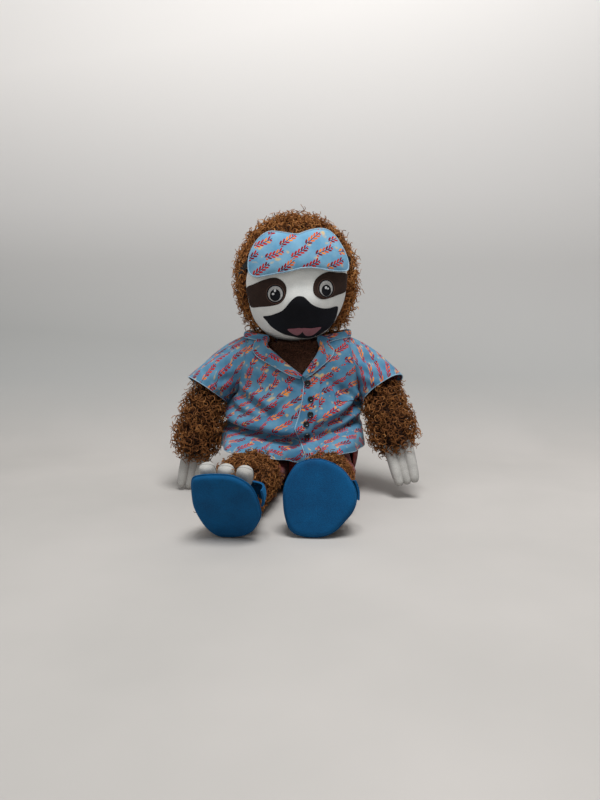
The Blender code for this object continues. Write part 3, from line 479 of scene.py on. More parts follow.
def sprig_print(name, low, high):
    """Cotton with rows of leaf sprigs, each turned and coloured by chance."""
    shader = Shader(name, 0.78, 0.1)
    calc, node, step = shader.calc, shader.node, shader.step

    def in_cell(value, whole, size):
        return calc("MULTIPLY", calc("SUBTRACT", calc("SUBTRACT", value, whole), 0.5), size)

    def squared(value, size):
        share = calc("DIVIDE", value, size)
        return calc("MULTIPLY", share, share)

    def by_chance(*numbers):
        spot = node("ShaderNodeCombineXYZ", *numbers)
        return node("ShaderNodeTexWhiteNoise", spot, noise_dimensions="3D")

    uv = node("ShaderNodeUVMap", uv_map="cloth")
    across, down = shader.split(uv)[:2]
    rows = calc("DIVIDE", down, SPRIG_CELL[1])
    row = calc("FLOOR", rows)
    columns = calc("MULTIPLY_ADD", row, 0.42, calc("DIVIDE", across, SPRIG_CELL[0]))
    column = calc("FLOOR", columns)
    chance = by_chance(column, row, 0.0)
    x = in_cell(columns, column, SPRIG_CELL[0])
    y = in_cell(rows, row, SPRIG_CELL[1])
    turned = calc("MULTIPLY_ADD", chance, 0.55, -0.72)
    sine = calc("SINE", turned)
    cosine = calc("COSINE", turned)
    along = calc("SUBTRACT", calc("MULTIPLY", x, cosine), calc("MULTIPLY", y, sine))
    off = calc("MULTIPLY_ADD", x, sine, calc("MULTIPLY", y, cosine))
    bend = calc("MULTIPLY", calc("MULTIPLY", along, along), SPRIG_BEND)
    off = calc("SUBTRACT", off, calc("MULTIPLY_ADD", chance, bend, -SPRIG_SHIFT))
    leaves = calc("MULTIPLY_ADD", calc("GREATER_THAN", off, 0.0), 0.5, calc("DIVIDE", along, LEAF_PITCH))
    number = calc("FLOOR", leaves)
    near = in_cell(leaves, number, LEAF_PITCH)
    out = calc("SUBTRACT", calc("ABSOLUTE", off), LEAF_OUT)
    turn = (math.cos(LEAF_TURN), math.sin(LEAF_TURN))
    long_way = calc("MULTIPLY_ADD", near, turn[0], calc("MULTIPLY", out, turn[1]))
    short_way = calc("MULTIPLY_ADD", out, turn[0], calc("MULTIPLY", near, -turn[1]))
    ellipse = calc("ADD", squared(long_way, LEAF_SIZE[0]), squared(short_way, LEAF_SIZE[1]))
    reach = calc("ABSOLUTE", along)
    leafed = calc("MULTIPLY", calc("LESS_THAN", reach, SPRIG_HALF_LENGTH), step(ellipse, 1.15, 0.85))
    stem = calc("MULTIPLY", step(reach, SPRIG_HALF_LENGTH + STEM_TAPER, SPRIG_HALF_LENGTH),
                step(calc("ABSOLUTE", off), *STEM_HALF_WIDTHS))
    pick = by_chance(column, number, row)
    leaf_colour = shader.ramp(pick, (0.0, (104, 6, 18)), (0.4, (176, 12, 16)), (0.72, (200, 44, 20)),
                              (0.95, (236, 138, 44)))
    blot = calc("MULTIPLY", step(shader.noise(uv, 95.0, 1.0), 0.62, 0.72), 0.75)
    base = shader.ramp(shader.noise(uv, 45.0, 3.0), (0.3, low), (0.7, high))
    printed = shader.mix(stem, shader.mix(blot, base, srgb(226, 184, 104)), srgb(26, 26, 66))
    shader.bump(shader.noise(shader.place(), 2200.0, 1.0), COTTON_DEPTH, 0.5)
    return shader.colour(shader.mix(leafed, printed, leaf_colour))


FUR = fur_material(
    "curly_fur", (0.0, (46, 23, 11)), (0.35, (106, 61, 28)), (0.7, (162, 106, 54)), (1.0, (218, 164, 100)),
)
# The same curly fur painted darker, as shade on the arms and legs, which the light from above reaches less
SHADED_LIMB_FUR = fur_material(
    "curly_limb_fur", (0.0, (38, 20, 10)), (0.35, (88, 50, 24)), (0.7, (138, 88, 45)), (1.0, (196, 142, 84)),
)
CHEST_FUR = fur_material("chest_fur", (0.0, (30, 15, 11)), (0.5, (62, 36, 27)), (1.0, (112, 74, 54)))
HIDE = pile("fur_backing", (30, 15, 8), (60, 33, 17), 0.1, grain=500.0, depth=BACKING_DEPTH)
CHEST = pile("chest_pile", (34, 17, 12), (66, 35, 22), 0.2, (150, 100, 70), 700.0, depth=DEEP_PILE_DEPTH)
WHITE = pile("white_velour", (222, 224, 221), (243, 244, 240), 0.2)
PATCH = pile("brown_velour", (36, 25, 21), (60, 43, 36), 0.25, (170, 150, 140))
BLACK = pile("black_velour", (7, 8, 12), (17, 18, 24), 0.12, (140, 150, 180))
TONGUE = pile("pink_felt", (128, 78, 88), (166, 108, 118), 0.2)
CLAW = pile("claw_velour", (150, 148, 144), (192, 190, 185), 0.25)
BLUE = pile("slipper_velour", (0, 58, 98), (0, 86, 136), 0.35, (30, 140, 200), patches=35.0)
# The shirt's print is painted darker than the mask's, as shade on the shirt under the light from above
SHADED_PRINT = sprig_print("printed_cotton_shaded", (62, 118, 154), (102, 150, 176))
MASK_PRINT = sprig_print("printed_mask_cotton", (92, 150, 186), (132, 178, 204))
EDGE = woven("cloth_edge", (132, 170, 196), (176, 206, 224))
SHORTS = woven("shorts_cotton", (104, 30, 26), (146, 50, 42))
LINING = woven("mask_lining", (12, 12, 18), (28, 28, 38))
ELASTIC = woven("elastic_band", (10, 10, 11), (34, 34, 36), COARSE_THREAD)
BUTTON = plain("button_plastic", (16, 16, 18), 0.32, 0.5)
THREAD = plain("thread", (18, 20, 30), 0.7)
SEAM = plain("claw_thread", (150, 149, 146), 0.8)
EYE_LIGHT = plain("eye_white", (190, 190, 188), 0.7)
GLINT = plain("eye_glint", (236, 238, 240), 0.6)
EYE_RING = plain("eye_ring", (92, 64, 50), 0.7)
FILLING = pile("stuffing", (205, 205, 200), (235, 235, 232), 0.1)
PELLETS = plain("pellets", (150, 152, 158), 0.5)
for node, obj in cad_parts.items():
    for number in range(len(obj.data.materials)):
        obj.data.materials[number] = PELLETS if node == "pellet_bag" else FILLING


# Stage

STAGE_FRONT = -3.0
STAGE_HALF_WIDTH = 4.0
WALL_Y = 0.50
WALL_HEIGHT = 3.0
WALL_CURVE = 0.35
WALL_FADE = 0.12
# Each light's place, its target, its power and its size
LIGHTS = {
    "key": ((0.2, -0.7, 2.0), (0, 0, 0.1), 38, 0.9),
    "fill": ((-0.9, -1.6, 1.1), (0, 0, 0.2), 6, 1.5),
}


def make_camera():
    data = bpy.data.cameras.new("camera")
    data.sensor_width = SENSOR
    data.lens = SENSOR * FOCAL_PIXELS / FRAME_SIZE[1]
    data.clip_start, data.clip_end = CAMERA_CLIP
    camera = add_object("camera", data)
    camera.location = CAMERA_PLACE
    camera.rotation_euler = (QUARTER_TURN - CAMERA_PITCH, 0, 0)
    bpy.context.scene.camera = camera


def stage_material():
    """Pale and a little uneven, with painted light: the floor lighter towards +X and the wall lighter
    upwards; clear from behind.
    """
    shader = Shader("stage", 0.95, specular=0.1)
    place = shader.place()
    across, _, up = shader.split(place)
    # Painted light on the floor: lighter towards +X, with unevenness by chance
    tone = shader.calc("MULTIPLY_ADD", across, 0.3, shader.noise(place, 3.0, 4.0))
    floor = shader.ramp(tone, (0.3, (180, 177, 173)), (0.7, (192, 188, 184)))
    # Painted light on the wall: lighter upwards, and low down lighter towards +X
    slant = shader.calc("MULTIPLY_ADD", up, -0.5, 0.21)
    level = shader.calc("MULTIPLY_ADD", across, slant, up)
    wall = shader.ramp(level, (0.15, (172, 172, 170)), (0.48, (210, 208, 206)), (0.84, (233, 230, 227)))
    shader.colour(shader.mix(shader.step(up, 0.0, WALL_FADE), floor, wall))
    behind = shader.node("ShaderNodeNewGeometry", output="Backfacing")
    clear = shader.node("ShaderNodeBsdfTransparent")
    both = shader.node("ShaderNodeMixShader", behind, shader.surface.outputs[0], clear)
    shader.tree.links.new(both, shader.tree.nodes["Material Output"].inputs[0])
    return shader.material


def make_stage():
    """A floor that curves up into a wall behind."""
    profile = [(STAGE_FRONT, 0.0), (WALL_Y - WALL_CURVE, 0.0)]
    for step in range(1, 13):
        angle = QUARTER_TURN * step / 12
        profile.append((WALL_Y - WALL_CURVE * (1 - math.sin(angle)), WALL_CURVE * (1 - math.cos(angle))))
    profile.append((WALL_Y, WALL_HEIGHT))
    points = [(x, y, z) for y, z in profile for x in (-STAGE_HALF_WIDTH, STAGE_HALF_WIDTH)]
    make_mesh("stage", points, [quads(len(profile), 2)], stage_material())


def make_lights():
    for name, (place, target, power, size) in LIGHTS.items():
        data = bpy.data.lights.new(name, "AREA")
        data.energy = power
        data.size = size
        light = add_object(name, data)
        light.location = place
        light.rotation_euler = (Vector(target) - Vector(place)).to_track_quat("-Z", "Y").to_euler()
    world = bpy.data.worlds.new("world")
    world.use_nodes = True
    background = world.node_tree.nodes["Background"]
    background.inputs[0].default_value = (0.86, 0.88, 0.9, 1)
    background.inputs[1].default_value = 0.2
    bpy.context.scene.world = world
    bpy.context.scene.view_settings.view_transform = "Standard"


# Curly fur

# Directions and phases of the waves that sweep neighbouring curls into locks
LOCKS = (((310, 150, 90), 0.4), ((-120, 260, 210), 1.9), ((170, -230, 280), 3.3))
DOWN = np.array((0, 0, -1.0))
CURL_STEPS = 15
CURL_SIDES = 3
CURL_RADIUS = 0.0028
CURL_WIRE = 0.00072
CURL_FLOOR = 0.0006
CELLS_AROUND = list(itertools.product((-1, 0, 1), repeat=3))
MERGE_DISTANCE = 1e-6
LOOK_FROM = 1e-5
HIDE_FLOOR = 0.003


def scatter(points, triangles, spacing, seed):
    """Evenly spread spots on a surface, with the normals there."""
    rng = np.random.default_rng(seed)
    corners = points[triangles]
    cross = np.cross(corners[:, 1] - corners[:, 0], corners[:, 2] - corners[:, 0])
    areas = np.linalg.norm(cross, axis=1) / 2
    tries = int(5 * areas.sum() / spacing ** 2)
    chosen = rng.choice(len(areas), tries, p=areas / areas.sum())
    first = np.sqrt(rng.random(tries))[:, None]
    second = rng.random(tries)[:, None]
    a, b, c = (corners[chosen, corner] for corner in range(3))
    spots = a * (1 - first) + b * first * (1 - second) + c * first * second
    taken = {}
    kept = []
    for number, spot in enumerate(spots):
        x, y, z = (math.floor(value / spacing) for value in spot)
        others = (other for dx, dy, dz in CELLS_AROUND for other in taken.get((x + dx, y + dy, z + dz), ()))
        if all(np.dot(spots[other] - spot, spots[other] - spot) >= spacing ** 2 for other in others):
            taken.setdefault((x, y, z), []).append(number)
            kept.append(number)
    return spots[kept], unit(cross)[chosen][kept]


def curls(name, roots, normals, body, material, length, droop, seed, radius=CURL_RADIUS, wire=CURL_WIRE,
          slot="fur", parts=1, longer=1.0):
    """Ringlets of pile: tapered tubes on helices that grow out of the hide and droop."""
    rng = np.random.default_rng(seed)
    count = len(roots)
    share = np.linspace(0, 1, CURL_STEPS + 1)
    size = length * (0.7 + 0.6 * rng.random(count)) * longer
    sweep = np.stack([np.sin(roots @ way + turn) for way, turn in LOCKS], 1)
    lean = 0.30 * sweep + rng.normal(0, 0.30, (count, 3))
    start = unit(normals + 0.3 * lean)
    end = unit(0.55 * normals + 1.2 * lean + droop * DOWN)
    along = unit(start[:, None] * (1 - share)[:, None] + end[:, None] * share[:, None])
    spine = roots[:, None] + np.cumsum(along, 1) * (size / CURL_STEPS)[:, None, None]
    axis = unit(start + end)
    across = unit(np.cross(axis, rng.normal(0, 1, (count, 3))))
    over = np.cross(axis, across)
    turns = (1.25 + 0.75 * rng.random(count)) * rng.choice((-1, 1), count)
    phase = FULL_TURN * (rng.random(count)[:, None] + turns[:, None] * share)
    swell = radius * (0.7 + 0.6 * rng.random(count))[:, None] * np.minimum(1, 3 * share)
    ring = np.cos(phase)[..., None] * across[:, None] + np.sin(phase)[..., None] * over[:, None]
    line = spine + swell[..., None] * ring
    tangent = unit(np.gradient(line, axis=1))
    side = unit(np.cross(tangent, (across + 0.37 * axis)[:, None]))
    up = np.cross(tangent, side)
    thick = (wire * (0.8 + 0.4 * rng.random(count)))[:, None] * (1 - 0.45 * share ** 2)
    cosine, sine = circle(CURL_SIDES)
    rim = side[:, :, None] * cosine[:, None] + up[:, :, None] * sine[:, None]
    points = line[:, :, None] + rim * thick[:, :, None, None]
    points[..., 2] = np.maximum(points[..., 2], CURL_FLOOR)
    # Painted shade along each curl, dark at its root and light at its tip, with a tone by chance for each
    # curl
    tone = 0.42 * share + 0.3 * rng.random(count)[:, None]
    tone = np.broadcast_to(tone[:, :, None], points.shape[:3])
    rows = CURL_STEPS + 1
    for number, chosen in enumerate(np.array_split(np.arange(count), parts), start=1):
        starts = np.arange(len(chosen)) * rows * CURL_SIDES
        faces = (quads(rows, CURL_SIDES, wrap=True) + starts[:, None, None]).reshape(-1, 4)
        label = name if parts == 1 else f"{name}_{number}"
        make_piece(label, points[chosen].reshape(-1, 3), [faces], material, body, slot, tone=tone[chosen])


def hide_mesh(node, depth):
    """The outside of a CAD skin, pushed in by a depth and smoothed: points and triangles."""
    work = bmesh.new()
    work.from_mesh(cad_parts[node].data)
    bmesh.ops.remove_doubles(work, verts=work.verts, dist=MERGE_DISTANCE)
    bmesh.ops.triangulate(work, faces=work.faces)
    tree = BVHTree.FromBMesh(work)
    inner = []
    for face in work.faces:
        start = face.calc_center_median() + face.normal * LOOK_FROM
        if tree.ray_cast(start, face.normal)[0] is not None:
            inner.append(face)
    bmesh.ops.delete(work, geom=inner, context="FACES")
    bmesh.ops.subdivide_edges(work, edges=work.edges, cuts=1, use_grid_fill=True)
    bmesh.ops.triangulate(work, faces=work.faces)
    for step in range(4):
        bmesh.ops.smooth_vert(
            work, verts=work.verts, factor=0.5, use_axis_x=True, use_axis_y=True, use_axis_z=True,
        )
    work.normal_update()
    work.verts.index_update()
    points = np.array([vertex.co - vertex.normal * depth for vertex in work.verts])
    triangles = np.array([[vertex.index for vertex in face.verts] for face in work.faces])
    work.free()
    points[:, 2] = np.maximum(points[:, 2], HIDE_FLOOR)
    return points, triangles


def make_hide(limb, side, joint, depth, spacing, seed, shift):
    """A limb's backing, shifted in its joint's frame: spots and normals for its pile."""
    points, triangles = hide_mesh(f"{limb}_{side}_fur", depth)
    local = placed(joint.inverted(), points)
    points = placed(joint, local + shift(local))
    make_piece(f"{limb}_hide_{side}", points, [triangles], HIDE, f"{limb}_{side}", "fur",
               f"{limb}_{side}_fur {limb}_{side}_stuffing", fill=0.8)
    return scatter(points, triangles, spacing, seed + SIDES[side])


def inside(outline, spots):
    """Which spots lie in a closed outline, both in two dimensions."""
    found = np.zeros(len(spots), bool)
    for here, there in zip(outline, np.roll(outline, -1, 0)):
        crosses = (here[1] > spots[:, 1]) != (there[1] > spots[:, 1])
        rise = there[1] - here[1] if there[1] != here[1] else TINY
        edge = (there[0] - here[0]) * (spots[:, 1] - here[1]) / rise + here[0]
        found ^= crosses & (spots[:, 0] < edge)
    return found


# Face, as pixels of its outlines

FACE_PIXELS = (
    (246.2, 287), (249.7, 306.7), (253.7, 318.6), (259.6, 327.5), (267.5, 334.4), (276.4, 338.8),
    (288.2, 341.5), (300.1, 341.8), (312, 339.8), (321.8, 335.4), (329.7, 328.5), (336.7, 318.6),
    (341.6, 308.7), (345, 298.8), (346.6, 288.9), (347.4, 279), (347.0, 270), (344, 261), (335, 254),
    (320, 251), (300, 250), (281, 252), (264, 256), (252, 263), (247.0, 274),
)
PATCH_PIXELS = {
    "right": ((246.4, 288), (254, 284), (264, 279.8), (274.4, 277.6), (281, 280), (285.5, 285), (286.4, 292),
              (284, 299), (279, 304), (270, 306.2), (260, 307), (251, 307), (248, 298)),
    "left": ((347, 274), (337, 272.6), (328, 272), (320.5, 275), (315, 280.5), (313, 288), (314.5, 295),
             (321.8, 299.4), (330, 298), (338, 295), (345.6, 291.4), (346.8, 282)),
}
MUZZLE_PIXELS = (
    (300.1, 296.3), (304, 297.3), (307.5, 300.6), (312, 304.7), (317.9, 307.4), (323.8, 308.5),
    (329.7, 308.2), (337.6, 306.5), (337.1, 313.6), (334.7, 320.5), (329.7, 327.5), (322.8, 332.4),
    (315.9, 335.9), (309, 337.8), (301.1, 338.1), (294.2, 336.9), (284.3, 334.4), (276.4, 330.4),
    (270.5, 326), (266.5, 321), (263, 316.6), (268.5, 315.8), (274.4, 314.1), (281, 311.4),
    (285.3, 307.7), (289.2, 302.8), (293.2, 298.8), (296.6, 296.6),
)
TONGUE_PIXELS = {
    "right": ((287.4, 329.4), (294.2, 328.5), (301.5, 328.3), (301.6, 332.4), (297.6, 335.4), (292.2, 333.6)),
    "left": ((301.7, 328.3), (311, 328.3), (320.9, 327), (317.9, 331), (312.9, 334.9), (307, 336),
             (303.4, 333.4)),
}
# Each eye's middle and half sizes, then the shift and half sizes of its pupil and its two glints
EYE_PIXELS = {
    "right": ((275.3, 293.9), (7.4, 7.8),
              (-0.2, 1.3, 5.3, 6.0), (-0.4, -3.2, 1.1, 1.5), (-2.2, 0.2, 1.3, 1.1)),
    "left": ((326.0, 288.6), (6.5, 7.9),
             (0.2, 1.9, 4.7, 5.8), (-0.2, -0.8, 1.2, 1.5), (1.9, 0.1, 0.9, 1.0)),
}
EYE_RIM = 2.0
EYE_LINE = 1.3
# How high each layer lies on the face, and how thick it is
PATCH_LAYER = (0.0, 0.0007)
MUZZLE_LAYER = (0.0, 0.0008)
TONGUE_LAYER = (0.0009, 0.0011)
RIM_LAYER = (0.0008, 0.0004)
LINE_LAYER = (0.0011, 0.0004)
WHITE_LAYER = (0.0014, 0.0004)
PUPIL_LAYER = (0.0018, 0.0004)
GLINT_LAYER = (0.0023, 0.0002)
LAYER_TUCK = 0.0006
# The face's edge, turned in under the pile: the scale and height of its rings
FACE_EDGE = ((0.93, -0.016), (0.985, -0.009), (1.0, -0.0035), (0.99, -0.0006), (0.965, 0.0))
SNOUT_HALF_WIDTH = 0.046
SNOUT_HALF_HEIGHT = 0.032
SNOUT_RISE = -0.047
SNOUT_PROUD = 0.009
LEAST_SQUARE = 1e-6


def dome(spots, lift, bumped=True):
    """Points on the face's dome, raised over its snout, in the world."""
    x, z = spots[:, 0], spots[:, 1]
    share = x / (FACE_HALF_WIDTH + lift)
    depth = np.sqrt(np.maximum((FACE_RADIUS + lift) ** 2 * (1 - share ** 2) - z ** 2, LEAST_SQUARE))
    reach = (x / SNOUT_HALF_WIDTH) ** 2 + ((z - SNOUT_RISE) / SNOUT_HALF_HEIGHT) ** 2
    if bumped:
        depth = depth + SNOUT_PROUD * np.maximum(0, 1 - reach) ** 1.3
    return placed(HEAD, stack(x, -depth, z))


def applique(name, outline, profile, material, slot, replaces="", count=96, fill=None):
    """Cloth sewn on the dome inside an outline: rings, each with its scale and its height."""
    loop = smooth_loop(outline, count)
    points, blocks = capped([dome(scaled(loop, scale), lift) for scale, lift in profile], flip=True)
    make_piece(name, points, blocks, material, "head", slot, replaces, fill)


def layer(lift, thick, rings=7):
    """A flat layer's rings: its edge, rounded over, and inwards to the middle."""
    inward = [(scale, lift + thick) for scale in np.linspace(0.92, 0.08, rings)]
    return [(1.0, lift - LAYER_TUCK), (1.0, lift + 0.5 * thick), (0.985, lift + 0.88 * thick)] + inward


def make_eye(side):
    (px, py), (wide, tall), pupil, *glints = EYE_PIXELS[side]
    discs = [
        (f"eye_rim_{side}", (0, 0, wide + EYE_RIM, tall + EYE_RIM), RIM_LAYER, EYE_RING, "patch", ""),
        (f"eye_line_{side}", (0, 0, wide + EYE_LINE, tall + EYE_LINE), LINE_LAYER, BLACK, "black", ""),
        (f"eye_white_{side}", (0, 0, wide, tall), WHITE_LAYER, EYE_LIGHT, "white_pile", f"eye_{side}"),
        (f"eye_pupil_{side}", pupil, PUPIL_LAYER, BLACK, "black", f"pupil_{side}"),
    ]
    for number, glint in enumerate(glints, start=1):
        discs.append((f"eye_glint_{side}_{number}", glint, GLINT_LAYER, GLINT, "white_pile", ""))
    for name, (x, y, wide, tall), lies, material, slot, stands_for in discs:
        outline = traced((px + x + wide * cosine, py + y + tall * sine) for cosine, sine in zip(*circle(16)))
        rings, count = (2, 20) if lies == GLINT_LAYER else (3, 40)
        applique(name, outline, layer(*lies, rings), material, slot, stands_for, count)


def make_face():
    profile = [*FACE_EDGE, *((scale, 0.0) for scale in np.linspace(0.93, 0.03, 22))]
    applique("face", traced(FACE_PIXELS), profile, WHITE, "white_pile", "face_panel", 160, fill=0.8)
    for side in SIDES:
        patch = traced(PATCH_PIXELS[side])
        applique(f"eye_band_{side}", patch, layer(*PATCH_LAYER), PATCH, "patch", f"eye_patch_{side}")
        make_eye(side)
    muzzle = traced(MUZZLE_PIXELS)
    applique("nose_and_mouth", muzzle, layer(*MUZZLE_LAYER, 16), BLACK, "black", "muzzle", 140)
    for side in SIDES:
        shape = traced(TONGUE_PIXELS[side])
        stands_for = "tongue" if side == "left" else ""
        applique(f"tongue_{side}", shape, layer(*TONGUE_LAYER, 4), TONGUE, "tongue", stands_for, 48)


# Mask

MASK_PIXELS = (
    (298.6, 234.1), (307, 231.1), (313.9, 229.4), (320.8, 228.7), (327.8, 230.1), (334.7, 235.6),
    (339.6, 242.5), (344.1, 250.4), (347.5, 259.3), (348.5, 265.2), (347, 270.4), (338.6, 270.9),
    (328.8, 270), (318.9, 268.2), (309, 267.4), (300.1, 268.2), (292.2, 270.2), (284.3, 271.9),
    (274.4, 273.6), (264.5, 275.6), (257.6, 276.6), (251.7, 275.2), (248.7, 271), (248.2, 263.2),
    (249.7, 254.3), (253.7, 245.5), (259.6, 237.5), (266.5, 232.6), (272.4, 231.4), (280.3, 232.1),
    (288.2, 233.4), (294.2, 234.1),
)
MASK_LIFT = 0.0074
MASK_PUFF = 0.0024
MASK_RIPPLE = 0.0003
LINING_GAP = 0.0004
LINING_PUFF = 0.002
MASK_PIPING = 0.0010
MASK_PIPING_DIP = 0.0002
BAND_DIP = 0.0012
BAND_RIB = 0.0030
MASK_BAND_TILT = -18
MASK_BAND_WIDTH = 0.0085
MASK_BAND_AXES = (0.0825, 0.0845)
MASK_BAND_SINKS = 0.07


def mask_outline():
    return smooth_loop(traced(MASK_PIXELS, MASK_LIFT), 180)


def make_mask():
    outline = mask_outline()
    rings = []
    uv = []
    for scale in (1.0, 0.985, *np.linspace(0.95, 0.03, 24)):
        spots = scaled(outline, scale)
        ripple = MASK_RIPPLE * np.sin(spots @ (330, 120)) * (1 - scale)
        rings.append(dome(spots, MASK_LIFT + MASK_PUFF * (1 - scale ** 4) + ripple, False))
        uv.append(spots)
    points, (sides, _, end) = capped(rings, flip=True)
    uv = np.concatenate([*uv, [outline.mean(0)] * 2])
    make_piece("mask_cover", points, [sides, end], MASK_PRINT, "mask", "shirt", "mask_front", fill=0.4, uv=uv)
    rings = []
    for scale in (1.0, 0.96, 0.8, 0.5, 0.2):
        lift = MASK_LIFT - LINING_GAP - LINING_PUFF * (1 - scale ** 4)
        rings.append(dome(scaled(outline, scale), lift, False))
    points, (sides, _, end) = capped(rings)
    make_piece("mask_lining", points, [sides, end], LINING, "mask", "elastic", "mask_padding")
    edge = dome(outline, MASK_LIFT - MASK_PIPING_DIP, False)
    tube("mask_piping", edge, MASK_PIPING, 8, EDGE, "mask", "shirt", closed=True)


def make_band():
    """The band, from one side edge of the mask round the head, where it sinks into the fur."""
    turn = HEAD @ rotation(MASK_BAND_TILT, "X")
    edge = placed(turn.inverted(), dome(mask_outline(), MASK_LIFT - BAND_DIP, False))
    ends = []
    leaves = []
    for sign in (1, -1):
        end = edge[np.argmin(np.where(edge[:, 0] * sign > 0, np.abs(edge[:, 2]), 1))]
        tries = np.linspace(-1.3, 0.5, 400)
        spots = stack(np.cos(tries), np.sin(tries)) * MASK_BAND_AXES
        along = stack(-np.sin(tries), np.cos(tries)) * MASK_BAND_AXES
        away = spots - (end[0] * sign, end[1])
        leaves.append(tries[np.argmin(np.abs(away[:, 0] * along[:, 1] - away[:, 1] * along[:, 0]))])
        ends.append([end[:2] * (0.98, 1.0)])
    angles = np.linspace(leaves[0], math.pi - leaves[1], 120)
    around = stack(np.cos(angles), np.sin(angles)) * MASK_BAND_AXES
    around *= 1 - MASK_BAND_SINKS * fade(np.sin(angles), -0.45, -0.10)[:, None]
    path = np.concatenate([ends[0], around, ends[1]])
    rows = []
    for share in np.linspace(1, -1, 13):
        ribbed = path * (1 + BAND_RIB * math.cos(share * 6 * math.pi))
        rows.append(placed(turn, stack(*ribbed.T, share * MASK_BAND_WIDTH / 2)))
    cloth("mask_band", np.array(rows), ELASTIC, "mask", "mask_strap", "head_hide", THIN_CLOTH,
          "elastic")


# Head

HIDE_HALF_WIDTH = 0.0735
HIDE_RADIUS = 0.0755
# How much wider than a ball the head's pile is, low at its sides
JOWLS = 0.07
JOWLS_DOWN = 0.055
HEAD_SPACING = 0.0031
HEAD_CURL = 0.0118
# The bare margins round the face and the mask, and where the pile is left out for the neck
FACE_MARGIN = (1.07, 1.05)
MASK_MARGIN = 1.02
BAND_FROM = -0.055
NECK_RADIUS = 0.0335
NECK_BARE = 0.030
# How long the curls are under the mask, low down, and where they stray
MASKED_LENGTH = 0.55
LOW_LENGTH = 0.6
LOW_FROM = 0.028
LOW_TO = 0.062
STRAY_SHARE = 0.08
STRAY_LENGTH = 1.35


def make_head():
    pole, one, other = ball(40, 64)
    local = stack(-HIDE_HALF_WIDTH * pole, HIDE_RADIUS * one, HIDE_RADIUS * other)
    local[..., 0] *= 1 + JOWLS * fade(-local[..., 2], 0.0, JOWLS_DOWN)
    points, blocks = capped(local)
    make_piece("head_hide", placed(HEAD, points), blocks, HIDE, "head", "fur", "head_fur head_stuffing",
               fill=0.9)
    corners = blocks[0]
    triangles = np.concatenate([corners[:, :3], corners[:, [0, 2, 3]]])
    spots, normals = scatter(points, triangles, HEAD_SPACING, 11)
    if np.mean(np.sum(normals * spots, 1)) < 0:
        normals = -normals
    flat = spots[:, [0, 2]] * (FACE_RADIUS / HIDE_RADIUS)
    front = spots[:, 1] < 0
    bare = front & inside(scaled(smooth_loop(traced(FACE_PIXELS), 60), FACE_MARGIN), flat)
    masked = front & inside(scaled(mask_outline(), MASK_MARGIN), flat)
    level = spots @ np.array(rotation(-MASK_BAND_TILT, "X"))[:3, :3].T
    bare |= (np.abs(level[:, 2]) < 0.25 * MASK_BAND_WIDTH) & (level[:, 1] > BAND_FROM)
    bare |= np.linalg.norm(spots + np.array(NECK_TO_HEAD), axis=1) < NECK_BARE
    keep = ~bare
    longer = np.where(masked[keep], MASKED_LENGTH, 1 + LOW_LENGTH * fade(-spots[keep, 2], LOW_FROM, LOW_TO))
    longer = longer * np.where(np.random.default_rng(3).random(len(longer)) < STRAY_SHARE, STRAY_LENGTH, 1)
    normals = normals[keep] @ np.array(HEAD)[:3, :3].T
    curls("head_curls", placed(HEAD, spots[keep]), normals, "head", FUR, HEAD_CURL, 0.2, 21, parts=3,
          longer=longer)
    pole, one, other = ball(18, 28)
    points, blocks = capped(np.array(NECK) + NECK_RADIUS * stack(one, other, pole))
    make_piece("neck_pile", points, blocks, HIDE, "neck", "fur", "neck_core", fill=0.9)


# Torso

VOXEL = 0.0022
WAY_REACH = 0.2
# Each form's lowest and highest point, how far it stands off the torso, and the legs' room
CHEST_FORM = (0.0016, TORSO_HEIGHT, -0.0004, WAY_RADIUS + 0.0004)
SEAT_FORM = (0.0004, 0.064, 0.0016, WAY_RADIUS + 0.0008)
CHEST_CURL = 0.0072
CHEST_CURL_RADIUS = 0.0019
CHEST_WIRE = 0.00062
CHEST_CURLS = 2000
CHEST_FROM = 0.005


def blurred(level, table):
    return sum(np.interp(level + shift, TORSO_LEVELS, table) for shift in TORSO_BLUR) / len(TORSO_BLUR)


def torso(height, angle, grow):
    """Points on the torso's side: the angle runs from the front towards its left."""
    level = height / TORSO_HEIGHT
    width = TORSO_HALF_WIDTH * blurred(level, TORSO_WIDTHS) + grow
    depth = TORSO_HALF_DEPTH * blurred(level, TORSO_DEPTHS) + grow
    return stack(width * np.sin(angle), -depth * np.cos(angle), height)


def modify(obj, kind, **settings):
    modifier = obj.modifiers.new(kind.lower(), kind)
    for key, value in settings.items():
        setattr(modifier, key, value)


def closed_torso(name, form, material, replaces):
    """A closed form of the torso between two heights, with room for the legs to swing."""
    low, high, grow, way = form
    angle = FULL_TURN * np.arange(96) / 96
    points, blocks = capped([torso(height, angle, grow) for height in np.linspace(low, high, 40)])
    obj = make_piece(name, points, blocks, material, "torso", replaces=replaces)
    turned = QUARTER_TURN * np.linspace(1, 0, 13)
    arc = stack(way * np.cos(turned), way * np.sin(turned))
    loop = np.array([(-WAY_REACH, way), *arc, (way, -WAY_REACH), (-WAY_REACH, -WAY_REACH)])
    count = len(loop)
    faces = [quads(2, count, flip=True, wrap=True), [range(count)], [range(2 * count - 1, count - 1, -1)]]
    cutters = []
    for side in SIDES:
        corners = np.concatenate([stack(x, *loop.T) for x in (-way, way)])
        cutter = make_mesh("way", placed(HIPS[side], corners), faces)
        cutters.append(cutter)
        modify(obj, "BOOLEAN", operation="DIFFERENCE", object=cutter, solver="EXACT")
    modify(obj, "REMESH", mode="VOXEL", voxel_size=VOXEL)
    modify(obj, "SMOOTH", iterations=4)
    bpy.context.view_layer.update()
    mesh = bpy.data.meshes.new_from_object(obj.evaluated_get(bpy.context.evaluated_depsgraph_get()))
    obj.modifiers.clear()
    obj.data = mesh
    mesh.shade_smooth()
    for cutter in cutters:
        bpy.data.objects.remove(cutter)


